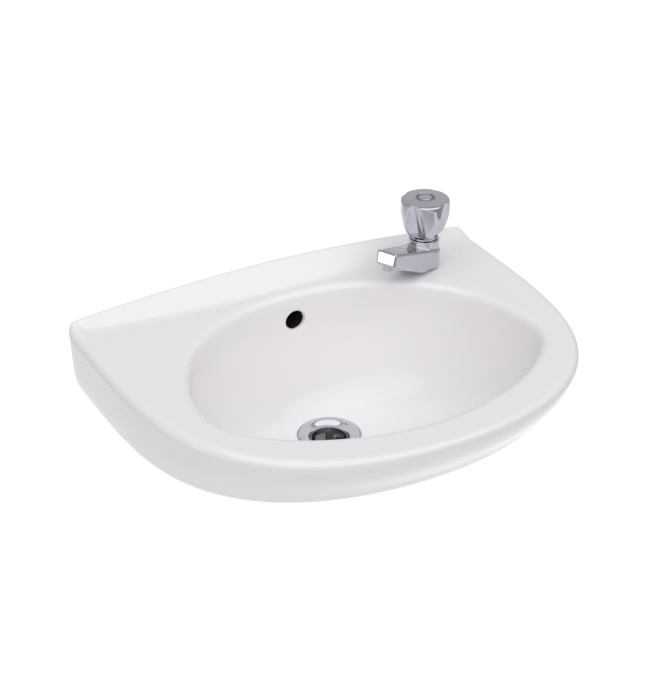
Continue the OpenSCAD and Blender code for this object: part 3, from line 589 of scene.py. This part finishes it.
def makeChina():
    step, cornerSteps, rowSteps, cornerPasses = ((0.25, 21, 4, 34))
    outerFrom, outerTo = 0.44, 0.66   # share of the rows that holds the rim's edge, the apron and its foot
    at = [step * n for n in range(int(halfCols / step) + 1)]
    # closer columns at the back corner, where the rim turns to the wall
    corner = [sideCols + d for d in np.linspace(-1, 1, cornerSteps)]
    at = sorted(set(a for a in at if abs(a - sideCols) > 1) | set(corner))
    right = curveThrough(np.array([chinaColumn(i) for i in at]), rowSteps)
    # round the upright edge at the back corner
    near = [n for n, a in enumerate(at) if abs(a - sideCols) < 1]
    outer = slice(int(right.shape[1] * outerFrom), int(right.shape[1] * outerTo))
    for _ in range(cornerPasses):
        rows = right[:, outer].copy()
        for n in near:
            right[n, outer] = (rows[n - 1] + 2 * rows[n] + rows[n + 1]) / 4
    left = right[-2:0:-1] * (-1, 1, 1)
    surface = np.concatenate([right, left]) + (0, 0, basin["rimHeight"])
    surface[..., 1] = np.minimum(surface[..., 1], 0)   # the wall face stays flat
    surface[..., 0] = np.clip(surface[..., 0], -basin["width"] / 2, basin["width"] / 2)
    return meshPiece("chinaBasin", surface.reshape(-1, 3), gridFaces(*surface.shape[:2]), chinaAngle)


def overflowCutter(china):
    # a round hole in the bowl's rear wall whose mouth opens in a soft lip
    tilt, deep, proud, glazed = 0.45, 0.03, 0.012, 0.0035   # a share, then depths in metres
    lipStretch, lipLift, lipWide, lipProud, lipTurn, lipSteps, sides = 1.6, 0.04, 1.05, 0.4, 78, 7, 72
    tree = BVHTree.FromObject(china, bpy.context.evaluated_depsgraph_get())
    beforeWall = basin["bowlBack"] - basin["bowlMid"] - 20
    middle = Vector((0, beforeWall, basin["rimHeight"] - basin["overflowDepth"])) * mm
    spot, normal, _, _ = tree.ray_cast(middle, Vector((0, 1, 0)))
    out = Vector((0, -1, 0)).lerp(normal if normal.y < 0 else -normal, tilt).normalized()
    side, up = Vector((1, 0, 0)), Vector((1, 0, 0)).cross(out).normalized()
    radius, lip = basin["overflowWidth"] / 2 * mm, basin["overflowLip"] * mm
    rows = []
    for k in range(sides):
        a = 2 * math.pi * k / sides
        way = side * math.cos(a) + up * math.sin(a)
        hit = tree.ray_cast(spot + way * (radius + lip) + out * deep, -out)[0]
        level = (hit - spot).dot(out)
        ring = [spot + way * radius - out * deep, spot + way * radius + out * (level - lipStretch * lip)]
        for j in range(1, lipSteps + 1):
            t = math.radians(lipTurn * j / lipSteps)
            rise = level - lip * (1 - math.sin(t)) * lipStretch + lip * lipLift
            ring.append(spot + way * (radius + lip * (1 - math.cos(t))) + out * rise)
        ring.append(spot + way * (radius + lip * lipWide) + out * (level + lipProud * lip))
        rows.append(ring)
    count = len(rows[0])
    corners = [p / mm for ring in rows for p in ring] + [(spot - out * deep) / mm, (spot + out * proud) / mm]
    faces = [tuple(f) for f in gridFaces(sides, count, False)]
    for k in range(sides):
        here, after = k * count, (k + 1) % sides * count
        faces += [(here, after, sides * count), (here + count - 1, after + count - 1, sides * count + 1)]
    cutter = meshPiece("overflowCutter", corners, faces, 60)
    cutter.data.materials.append(whiteGlaze)
    cutter.data.materials.append(tunnelPaintedShade)
    # faces deeper in the hole than the glazed lip take the near-black painted shade
    for face in cutter.data.polygons:
        face.material_index = 1 if (face.center - spot).dot(out) < -glazed else 0
    return cutter


def rodCutter(name, start, end, width):
    a, b = Vector(start), Vector(end)
    long, core = (b - a).length, 0.01
    rod = turned(name, [(core, 0), (width / 2, 0), (width / 2, long), (core, long)], (0, 0, 0), 96)
    turn = (b - a).to_track_quat("Z", "Y").to_matrix().to_4x4()
    turn.translation = a * mm
    rod.data.transform(turn)
    rod.data.materials.append(unglazedClay)
    return rod


china = makeChina()
china.data.materials.append(whiteGlaze)
china.data.materials.append(tunnelPaintedShade)
cutBy(china, overflowCutter(china), True)
china.data.materials.append(unglazedClay)
before, beyond = 2, 3   # a cutter starts before the china and ends beyond it
for side in (-1, 1):
    boltX = side * basin["boltGap"] / 2
    boltEnds = (boltX, before, 0), (boltX, -basin["wall"] - beyond, 0)
    cutBy(china, rodCutter("boltCutter", *boltEnds, basin["boltHole"]), True)
deckUnder = basin["rimHeight"] - basin["deck"]
tapAt = (basin["tapX"], -basin["tapY"])
tapEnds = (*tapAt, basin["rimHeight"] + before), (*tapAt, deckUnder - beyond)
cutBy(china, rodCutter("tapCutter", *tapEnds, basin["tapHole"]), True)
china.data.set_sharp_from_angle(angle=math.radians(chinaAngle))
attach(china, "basin")
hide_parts("basin_body")
# the flat wall face is left unglazed
rawSlot = china.data.materials.find("unglazedClay")
wallReach, facing = 0.6 * mm, 0.9
for face in china.data.polygons:
    if face.center.y > -wallReach and abs(face.normal.y) > facing:
        face.material_index = rawSlot
print("washbasin: china made,", len(china.data.polygons), "faces")


# the tap
tap = {
    "turn": 26, "body": 16.5, "bodyTop": 19.5, "footRound": 3,
    "barrel": 15.5, "barrelTop": 31.5, "barrelFoot": 5,
    "armRoot": 16.5, "armTip": 11.4, "armReach": 72.5, "armTop": 42, "armFace": 15.5, "armFall": 4.5,
    "armTopAtAxis": 21, "underLevel": 1.5, "underBend": 20, "underBendR": 4, "underSlope": 0.5,
    "barrelSoft": 1.4, "bodySoft": 1.2, "noseSoft": 1.8, "sideSoft": 2.6, "underSoft": 3.4,
    "bodyBlend": 0.8, "armBlend": 1.6,
    "tailWidth": 20.96, "tailBore": 13, "tailLength": 50, "tailPitch": 1.81, "tailThread": 0.9,
    "tailTop": 0.5, "tailPlain": 2.5, "clearBore": 21.96,
    "seal": 1, "sealWidth": 28, "sealSoft": 0.3, "washerWidth": 36, "washerThick": 2,
    "nutFlats": 27, "nutHigh": 8, "nutBore": 21.16,
    "outletX": 65, "outletZ": 22, "outletWidth": 13, "outletWall": 1.25, "outletHigh": 7.2,
    "skinLow": (-22, -21, -3), "skinHigh": (78, 21, 47), "skinCell": 0.55,
}
tapFoot = (*tapAt, basin["rimHeight"] + tap["seal"])


def fromTap(p):
    # from the tap's own axes, with x along the spout, to the frame
    a = math.radians(180 + tap["turn"])
    x = p[:, 0] * math.cos(a) - p[:, 1] * math.sin(a)
    y = p[:, 0] * math.sin(a) + p[:, 1] * math.cos(a)
    return np.stack([x, y, p[:, 2]], -1) + tapFoot


def tapField(p):
    x, y, z = p[:, 0], np.abs(p[:, 1]), p[:, 2]
    r = np.hypot(x, y)
    barrel = smoothMax(r - tap["barrel"], z - tap["barrelTop"], tap["barrelSoft"])
    # the wide lower body stands on a well rounded foot
    soft = tap["footRound"]
    u, v = np.maximum(r - tap["body"] + soft, 0), np.maximum(soft - z, 0)
    body = np.where((u > 0) & (v > 0), np.hypot(u, v) - soft, np.maximum(r - tap["body"], -z))
    body = smoothMax(body, z - tap["bodyTop"], tap["bodySoft"])
    # the arm: a tapered body cut by its top, its end face and its rising underside
    beta = math.asin((tap["armRoot"] - tap["armTip"]) / (tap["armReach"] + 1))
    sides = np.where(x * math.cos(beta) - y * math.sin(beta) < 0, r - tap["armRoot"],
                     x * math.sin(beta) + y * math.cos(beta) - tap["armRoot"])
    run = tap["armReach"] - tap["armFall"]
    rise = math.atan2(tap["armTop"] - tap["armTopAtAxis"], run)
    top = (z - tap["armTopAtAxis"]) * math.cos(rise) - x * math.sin(rise)
    low = tap["armTop"] - tap["armFace"]
    lean = math.atan2(tap["armFall"], tap["armFace"])
    nose = (x - tap["armReach"]) * math.cos(lean) + (z - low) * math.sin(lean)
    u = x - tap["underBend"]
    root = np.sqrt(u * u + tap["underBendR"] ** 2)
    under = tap["underLevel"] + tap["underSlope"] * (u + root) / 2
    steep = tap["underSlope"] * (1 + u / root) / 2
    under = (under - z) / np.sqrt(1 + steep ** 2)
    arm = smoothMax(smoothMax(top, nose, tap["noseSoft"]), sides, tap["sideSoft"])
    arm = smoothMax(arm, under, tap["underSoft"])
    body = smoothMin(np.maximum(barrel, tap["barrelFoot"] - z), body, tap["bodyBlend"])
    return smoothMin(body, arm, tap["armBlend"])


def threadedTube(name, centre, top, bottom, width, bore, pitch, deep, plain, sides=96):
    # a tail whose cut thread starts so far below its top as plain says, with a chamfer at its foot
    flank, flat, chamfer, mouth = 1.35, 0.1, 0.4, 0.5
    sides = sides
    rows = int((top - bottom) / pitch * (10))
    z = np.linspace(top, bottom, rows)[None, :]
    a = np.linspace(0, 2 * math.pi, sides, endpoint=False)[:, None]
    wave = np.abs(((z / pitch + a / (2 * math.pi)) % 1) * 2 - 1)
    wave = np.clip(wave * flank - flat, 0, 1)
    fade = np.clip((top - plain - z) / pitch, 0, 1)
    r = np.minimum(width / 2 - deep * wave * fade, width / 2 - deep - chamfer + z - bottom)
    outer = np.stack([r * np.cos(a), r * np.sin(a), z + 0 * a], -1)
    inner = np.array([(bore / 2 + mouth, bottom), (bore / 2, bottom + mouth), (bore / 2, top - 1)])
    inside = np.stack([inner[:, 0] * np.cos(a), inner[:, 0] * np.sin(a), inner[:, 1] + 0 * a], -1)
    grid = np.concatenate([outer, inside], 1) + centre
    return meshPiece(name, grid.reshape(-1, 3), gridFaces(*grid.shape[:2]), 32)


def hexNut(name, node, centre, flats, height, bore):
    # a brass hexagon with turned chamfers and a chamfered bore
    sides, chamfer, slope, edge, edgeCut, mouth = 192, 0.97, 1.75, 0.25, 0.12, 0.9
    half = flats / 2
    faceR = 0.93 * half
    near, far = np.linspace(0, 1.8, 7), np.linspace(2.4, height - 2.4, 4)
    levels = [*near, *far, *(height - near[::-1])]
    grid = []
    for k in range(sides):
        a = 2 * math.pi * k / sides
        toFlat = half / math.cos((a + math.pi / 6) % (math.pi / 3) - math.pi / 6)
        ring = [(bore / 2 + mouth, 0), (faceR, 0)]
        for level in levels:
            depth = min(level, height - level)
            r = min(toFlat, half * chamfer + depth * slope) - edgeCut * max(0, 1 - depth / edge)
            ring.append((r, level))
        ring += [(faceR, height), (bore / 2 + mouth, height), (bore / 2, height - mouth), (bore / 2, mouth)]
        for r, level in ring:
            grid.append((centre[0] + r * math.cos(a), centre[1] + r * math.sin(a), centre[2] + level))
    place(meshPiece(name, grid, gridFaces(sides, len(ring)), 24), "basin", "brass", turnedBrass, node)


def washer(name, node, slot, finish, centre, width, bore, thick, soft=0.35):
    outline = softened([(bore / 2, 0), (width / 2, 0), (width / 2, thick), (bore / 2, thick)], soft, 4)
    place(turned(name, outline, centre), "basin", slot, finish, node)


tapBody = skinned("tapBody", tapField, tap["skinLow"], tap["skinHigh"], tap["skinCell"], fromTap)
place(tapBody, "basin", "chrome", polishedChrome, "tap_body")
tapTail = threadedTube("tapTail", tapFoot, tap["tailTop"], -tap["seal"] - tap["tailLength"], tap["tailWidth"],
                       tap["tailBore"], tap["tailPitch"], tap["tailThread"], tap["tailPlain"])
place(tapTail, "basin", "brass", turnedBrass)

# the seal under the foot, and the washer and nut under the deck
washer("tapBaseSeal", "tap_base_seal", "rubber", blackRubber, (*tapAt, basin["rimHeight"]),
       tap["sealWidth"], tap["clearBore"], tap["seal"], tap["sealSoft"])
level = deckUnder - tap["washerThick"]
washer("tapWasher", "tap_washer", "clear_washer", clearNylon, (*tapAt, level),
       tap["washerWidth"], tap["clearBore"], tap["washerThick"])
level -= tap["nutHigh"]
hexNut("tapBacknut", "tap_backnut", (*tapAt, level), tap["nutFlats"], tap["nutHigh"], tap["nutBore"])

# the outlet under the spout is a ring with a soft mouth
ringR, ringHigh = tap["outletWidth"] / 2, tap["outletHigh"]
ringIn = ringR - tap["outletWall"]
ringOutline = softened([(ringIn, 0), (ringR, 0), (ringR, ringHigh), (ringIn, ringHigh)], [0.6, 0.45, 0, 0], 6)
outletCentre = fromTap(np.array([[tap["outletX"], 0, tap["outletZ"]]]))[0]
place(turned("outletRing", ringOutline, outletCentre), "basin", "chrome", polishedChrome, "outlet_ring")
print("washbasin: tap body made")


# the handle
handle = {
    "width": 49.6, "foot": 30, "height": 39, "dome": 2.5, "domeIn": 0.6, "base": 34.5,
    "outline": [(0, 0), (0.04, 0.2), (0.12, 0.42), (0.26, 0.66), (0.41, 0.83), (0.55, 0.94), (0.72, 1),
                (0.9, 1), (1, 0.975)],   # shares of the height and of the way from foot to width
    "flutes": 4, "fluteR": 13.5, "fluteFoot": 11.8, "fluteTop": 22.5, "fluteTurn": 32,
    "skirt": 10, "skirtTop": 56.5, "indice": 19, "indiceThick": 2.4, "indiceGap": 0.15,
    "fluteSoft": 1.3, "capSoft": 0.9, "skirtSoft": 0.8, "seatSoft": 0.5,
    "skinLow": (-27, -27, 32), "skinHigh": (27, 27, 79), "skinCell": 0.5,
}
outlineAt = np.array([p[0] for p in handle["outline"]]) * handle["height"] + handle["base"]
outlineR = mix(handle["foot"], handle["width"], np.array([p[1] for p in handle["outline"]])) / 2
fineZ = np.linspace(outlineAt[0], outlineAt[-1], 400)


def smoothProfile(z, r, at):
    # a curve through the handle's outline, without overshoot
    gap, rise = np.diff(z), np.diff(r)
    slope = np.zeros(len(z))
    steep = rise / gap
    for k in range(1, len(z) - 1):
        if steep[k - 1] * steep[k] > 0:
            slope[k] = 2 * steep[k - 1] * steep[k] / (steep[k - 1] + steep[k])
    slope[0], slope[-1] = steep[0], steep[-1]
    k = np.clip(np.searchsorted(z, at) - 1, 0, len(z) - 2)
    t = (at - z[k]) / gap[k]
    return ((1 + 2 * t) * (1 - t) ** 2 * r[k] + t * (1 - t) ** 2 * gap[k] * slope[k]
            + t * t * (3 - 2 * t) * r[k + 1] + t * t * (t - 1) * gap[k] * slope[k + 1])


fineR = smoothProfile(outlineAt, outlineR, fineZ)


def handleField(p):
    x, y, z = p.T
    r = np.hypot(x, y)
    base, edge = handle["base"], handle["base"] + handle["height"]
    wide = np.interp(z, fineZ, fineR)
    reach = 0.3
    steep = (np.interp(z + reach, fineZ, fineR) - np.interp(z - reach, fineZ, fineR)) / (2 * reach)
    side = (r - wide) / np.sqrt(1 + steep ** 2)
    domeR = handle["width"] / 2 - handle["domeIn"]
    dome = z - edge - handle["dome"] * np.sqrt(np.clip(1 - (r / domeR) ** 2, 0, 1))
    # the flutes are cut into the sides, and lean outwards until they run out under the cap's edge
    lean = math.atan2(handle["fluteTop"] - handle["fluteFoot"], handle["height"])
    axis = handle["fluteFoot"] + handle["fluteR"] / math.cos(lean)
    for k in range(handle["flutes"]):
        a = math.radians(180 + handle["fluteTurn"] + 360 * k / handle["flutes"])
        along, across = x * math.cos(a) + y * math.sin(a), y * math.cos(a) - x * math.sin(a)
        u = (along - axis) * math.cos(lean) - (z - base) * math.sin(lean)
        side = smoothMax(side, handle["fluteR"] - np.hypot(u, across), handle["fluteSoft"])
    shape = smoothMax(smoothMax(side, dome, handle["capSoft"]), base - z, handle["capSoft"])
    # the space inside for the headgear, and the seat of the indice in the top
    skirt = np.maximum(r - handle["skirt"], z - handle["skirtTop"])
    shape = smoothMax(shape, -skirt, handle["skirtSoft"])
    seat = np.maximum(r - handle["indice"] / 2 - handle["indiceGap"], indiceFloor - z)
    return smoothMax(shape, -seat, handle["seatSoft"])


indiceFloor = handle["base"] + handle["height"] + handle["dome"] - handle["indiceThick"]
tapHandle = skinned("tapHandle", handleField, handle["skinLow"], handle["skinHigh"], handle["skinCell"],
                    lambda p: p + tapFoot)
place(tapHandle, "handle", "chrome_handle", polishedChrome, "tap_handle")

# the indice is a domed disc with a dark ring round it, each drawn as (radius, height)
indice = {
    "edge": [(0.02, 0), (6.5, 0), (6.7, 1.6), (6.3, 2.15)],
    "crownR": 5.8, "crownLevel": 2.2, "crownRise": 0.18, "middle": (0.02, 2.38),
    "ring": [(6.4, 0), (9.55, 0), (9.55, 2.0), (6.4, 1.8)], "ringSoft": 0.2,
}
indiceAt = (*tapAt, tapFoot[2] + indiceFloor)
crown = [(indice["crownR"] * math.cos(t), indice["crownLevel"] + indice["crownRise"] * math.sin(t))
         for t in np.linspace(0.2, 1.5, 8)]
indiceDisc = turned("indiceDisc", indice["edge"] + crown + [indice["middle"]], indiceAt)
place(indiceDisc, "handle", "indice", polishedChrome, "indice_disc")
# the dark ring sits in the groove between disc and handle: tinted plastic, and painted shade for that groove
indiceRing = turned("indiceRing", softened(indice["ring"], indice["ringSoft"], 3), indiceAt)
place(indiceRing, "handle", "indice", ringTintAndGrooveShade)
print("washbasin: handle made")


# the waste
waste = {
    "flange": 61, "tailWidth": 41.9, "bore": 36, "length": 64, "pitch": 2.31, "thread": 1.1, "tailTop": -1.5,
    "boreGap": 0.05, "plainShare": 0.2, "crownIn": 3.5, "crown": 3.7, "edge": 1.2, "throatDeep": 6,
    "collar": 30, "collarIn": 1.2, "slotWidth": 14, "slotHeight": 12, "slotLevel": -13, "slotReach": 40,
    "crossDeep": 14, "crossThick": 3, "crossSoft": 0.5, "clearBore": 42.9,
    "seal": 1.5, "sealWidth": 59, "sealBore": 45, "sealSoft": 0.5,
    "underSeal": 5, "underSealWidth": 62, "underSealSoft": 1.2, "friction": 1.5, "frictionWidth": 60,
    "nutFlats": 52, "nutHigh": 8, "nutBore": 42.1,
}
wasteSeat = (0, -basin["wasteY"], basin["rimHeight"] + seatLevel)
crownR = waste["flange"] / 2 - waste["crownIn"]


def flangeOutline():
    # a collar inside the tail carries the flange, which rises to a crown and dishes down into the bore
    rim, bore, tail = waste["flange"] / 2, waste["bore"] / 2, waste["tailWidth"] / 2
    collarR = tail - waste["collarIn"]
    line = [(bore, -waste["collar"]), (collarR, -waste["collar"]), (collarR, -1.4), (tail, -0.4),
            (tail + 0.4, 0), (rim - 0.4, 0), (rim, 0.35)]
    for t in np.linspace(0, math.pi / 2, 10):
        line.append((mix(crownR, rim, math.cos(t)), mix(waste["edge"], waste["crown"], math.sin(t))))
    for t in np.linspace(0, math.pi / 2, 16)[1:]:
        fall = mix(waste["crown"], -waste["throatDeep"], 1 - math.cos(t))
        line.append((mix(crownR, bore, math.sin(t)), fall))
    return line


def slotCutter(way):
    # one of the two slots that take in the overflow's water, in front or behind
    level, half = waste["slotLevel"] - waste["seal"], waste["slotHeight"] / 2
    low = (-waste["slotWidth"] / 2, 0, level - half)
    high = (waste["slotWidth"] / 2, waste["slotReach"] * way, level + half)
    return softBlock("slotCutter", low, high, 0, 0)


def softBlock(name, low, high, soft, spin):
    # a bevelled block between two corners, turned about the waste's axis
    shape = bmesh.new()
    bmesh.ops.create_cube(shape, size=1)
    low, high = np.minimum(low, high), np.maximum(low, high)
    for v in shape.verts:
        v.co = Vector(low + (np.array(v.co) + 0.5) * (high - low))
    if soft:
        bmesh.ops.bevel(shape, geom=shape.edges[:], offset=soft, segments=3, profile=0.5, affect="EDGES")
    shape.transform(Matrix.Translation(Vector(wasteTop)) @ Matrix.Rotation(math.radians(spin), 4, "Z"))
    corners = [v.co[:] for v in shape.verts]
    faces = [[v.index for v in f.verts] for f in shape.faces]
    shape.free()
    return meshPiece(name, corners, faces, 45)


wasteTop = (wasteSeat[0], wasteSeat[1], wasteSeat[2] + waste["seal"])
wasteFlange = turned("wasteFlange", flangeOutline(), wasteTop, 192)
place(wasteFlange, "basin", "chrome", polishedChrome, "waste_body")
tailPlain = waste["seal"] + basin["bossThick"] * waste["plainShare"]
wasteTail = threadedTube("wasteTail", wasteTop, waste["tailTop"], -waste["length"], waste["tailWidth"],
                         waste["bore"] - waste["boreGap"], waste["pitch"], waste["thread"], tailPlain, 144)
# the tail's dark plating is satin plating and also painted shade for the waste's throat
place(wasteTail, "basin", "chrome", platingAndThroatShade)
for piece, smoothAngle in ((wasteTail, 35), (wasteFlange, 40)):
    for way in (-1, 1):
        cutBy(piece, slotCutter(way))
    piece.data.set_sharp_from_angle(angle=math.radians(smoothAngle))
# the crossbars keep out what could block the trap
barReach, barHalf, barTop = waste["bore"] / 2 - waste["boreGap"], waste["crossThick"] / 2, -waste["crossDeep"]
for letter, spin in (("A", 45), ("B", 135)):
    bar = softBlock("wasteCrossbar" + letter, (-barReach, -barHalf, barTop - waste["crossThick"]),
                    (barReach, barHalf, barTop), waste["crossSoft"], spin)
    place(bar, "basin", "chrome", polishedChrome)

# the seals over and under the boss, then the washer and the nut
wasteAt = wasteSeat[:2]
washer("wasteTopSeal", "waste_top_seal", "rubber", blackRubber, wasteSeat,
       waste["sealWidth"], waste["sealBore"], waste["seal"], waste["sealSoft"])
level = wasteSeat[2] - basin["bossThick"] - waste["underSeal"]
washer("wasteUnderSeal", "waste_under_seal", "rubber", blackRubber, (*wasteAt, level),
       waste["underSealWidth"], waste["clearBore"], waste["underSeal"], waste["underSealSoft"])
level -= waste["friction"]
washer("wasteFrictionWasher", "waste_friction_washer", "clear_washer", clearNylon, (*wasteAt, level),
       waste["frictionWidth"], waste["clearBore"], waste["friction"])
level -= waste["nutHigh"]
hexNut("wasteBacknut", "waste_backnut", (*wasteAt, level),
       waste["nutFlats"], waste["nutHigh"], waste["nutBore"])
print("washbasin: waste made")


# finishes of the frame's own pieces, each with the width of its broken edges
insidePieces = {
    "headgear_body": (polishedChrome, 0.25), "headgear_seal": (darkFibre, 0.15),
    "spindle": (turnedBrass, 0.15), "spindle_o_rings": (blackRubber, 0), "spindle_clip": (clipSteel, 0.1),
    "jumper": (turnedBrass, 0.2), "jumper_washer": (blackRubber, 0.2), "jumper_screw": (turnedBrass, 0.1),
    "handle_screw": (clipSteel, 0.15), "flow_straightener": (whiteInsert, 0.08),
}
for name, (finish, edge) in insidePieces.items():
    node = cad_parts[name]
    node.data.materials.clear()
    node.data.materials.append(finish)
    if edge:
        bevel = node.modifiers.new("brokenEdge", "BEVEL")
        bevel.width, bevel.segments, bevel.angle_limit = edge * mm, 2, math.radians(35)
        bevel.limit_method = "ANGLE"
print("washbasin: inside pieces dressed")


# floor, light and camera
studio = {
    "floorLevel": -0.62, "floorSize": 18, "floorGlow": 0.22,
    "paper": ((0.97, 0.97, 0.975), (0.98, 0.98, 0.98)),
    # each shade has a direction, its darkest share, and the places along it where it is darkest and gone
    "floorShades": [((0.477, 0.879, 0), 0.74, -0.7, 0.07), ((0.947, -0.322, 0), 0.5, -1.4, -0.36),
                    ((-0.785, 0.619, 0), 0.42, -1.5, -0.45)],
    "room": 0.47, "roomTint": (0.93, 0.925, 0.95, 1),
    "sun": 1.52, "sunSpread": 95, "sunFrom": (-0.14, -0.58, 1.0),
    "side": 0.7, "sideFrom": (-1.8, 0.01, 0.12), "sideAim": (0, -0.17, 0), "sideSize": (0.32, 0.32),
    "back": 1.4, "backFrom": (1.1, 1.5, 1.0), "backAim": (0.144, -0.053, 0.1), "backSize": (2.6, 1.5),
}
photo = {
    "lens": 83.67, "sensor": 36, "from": (-0.6564, -1.3087, 0.8021), "turn": (59.7032, -0.0209, -28.5326),
}
far, floorLevel = studio["floorSize"] / 2, studio["floorLevel"]
floorCorners = [(x * far, y * far, floorLevel) for x, y in ((-1, -1), (1, -1), (1, 1), (-1, 1))]
floorMesh = bpy.data.meshes.new("studioFloor")
floorMesh.from_pydata(floorCorners, [], [(0, 1, 2, 3)])
studioFloor = addObject("studioFloor", floorMesh)
floorFinish, floorTree, floorShader = newFinish("palePaper", Roughness=0.9, Specular_IOR_Level=0.1)
floorTint = noiseOf(floorTree, pointsOf(floorTree), 3, 2, 0.5)
paper = tintOf(floorTree, floorTint, [(0.2, studio["paper"][0]), (0.8, studio["paper"][1])])
# the paper is a shade darker before the basin and on both sides, where it would light the apron from below
shade = None
for way, darkest, start, end in studio["floorShades"]:
    nearness = addNode(floorTree, "ShaderNodeVectorMath", operation="DOT_PRODUCT")
    nearness.inputs[1].default_value = way
    floorTree.links.new(pointsOf(floorTree), nearness.inputs[0])
    part = rangeOf(floorTree, nearness.outputs["Value"], darkest, 1, start, end)
    if shade is not None:
        both = addNode(floorTree, "ShaderNodeMath", operation="MULTIPLY")
        floorTree.links.new(shade, both.inputs[0])
        floorTree.links.new(part, both.inputs[1])
        part = both.outputs["Value"]
    shade = part
for socket, tint in (("Base Color", paper), ("Emission Color", None)):
    shaded = addNode(floorTree, "ShaderNodeVectorMath", operation="SCALE")
    shaded.inputs[0].default_value = (1, 1, 1)
    if tint is not None:
        floorTree.links.new(tint, shaded.inputs[0])
    floorTree.links.new(shade, shaded.inputs["Scale"])
    floorTree.links.new(shaded.outputs["Vector"], floorShader.inputs[socket])
floorShader.inputs["Emission Strength"].default_value = studio["floorGlow"]
floorMesh.materials.append(floorFinish)


def softBox(name, where, aim, size, watts):
    data = bpy.data.lights.new(name, "AREA")
    data.shape, data.size, data.size_y, data.energy = "RECTANGLE", *size, watts
    lamp = addObject(name, data)
    lamp.location = where
    lamp.rotation_euler = (Vector(where) - Vector(aim)).to_track_quat("Z", "Y").to_euler()
    lamp.visible_camera = False


sunData = bpy.data.lights.new("windowLight", "SUN")
sunData.energy, sunData.angle = studio["sun"], math.radians(studio["sunSpread"])
windowLight = addObject("windowLight", sunData)
windowLight.rotation_euler = Vector(studio["sunFrom"]).to_track_quat("Z", "Y").to_euler()
softBox("sideLight", studio["sideFrom"], studio["sideAim"], studio["sideSize"], studio["side"])
softBox("backLight", studio["backFrom"], studio["backAim"], studio["backSize"], studio["back"])

world = bpy.data.worlds.new("studioRoom")
world.use_nodes = True
room = world.node_tree.nodes["Background"]
room.inputs["Color"].default_value = studio["roomTint"]
room.inputs["Strength"].default_value = studio["room"]
bpy.context.scene.world = world
bpy.context.scene.view_settings.view_transform = "Standard"

cameraData = bpy.data.cameras.new("photoCamera")
cameraData.lens, cameraData.sensor_width, cameraData.clip_end = photo["lens"], photo["sensor"], 60
photoCamera = addObject("photoCamera", cameraData)
photoCamera.location = photo["from"]
photoCamera.rotation_euler = [math.radians(a) for a in photo["turn"]]
bpy.context.scene.camera = photoCamera
print("washbasin: floor, light and camera made")
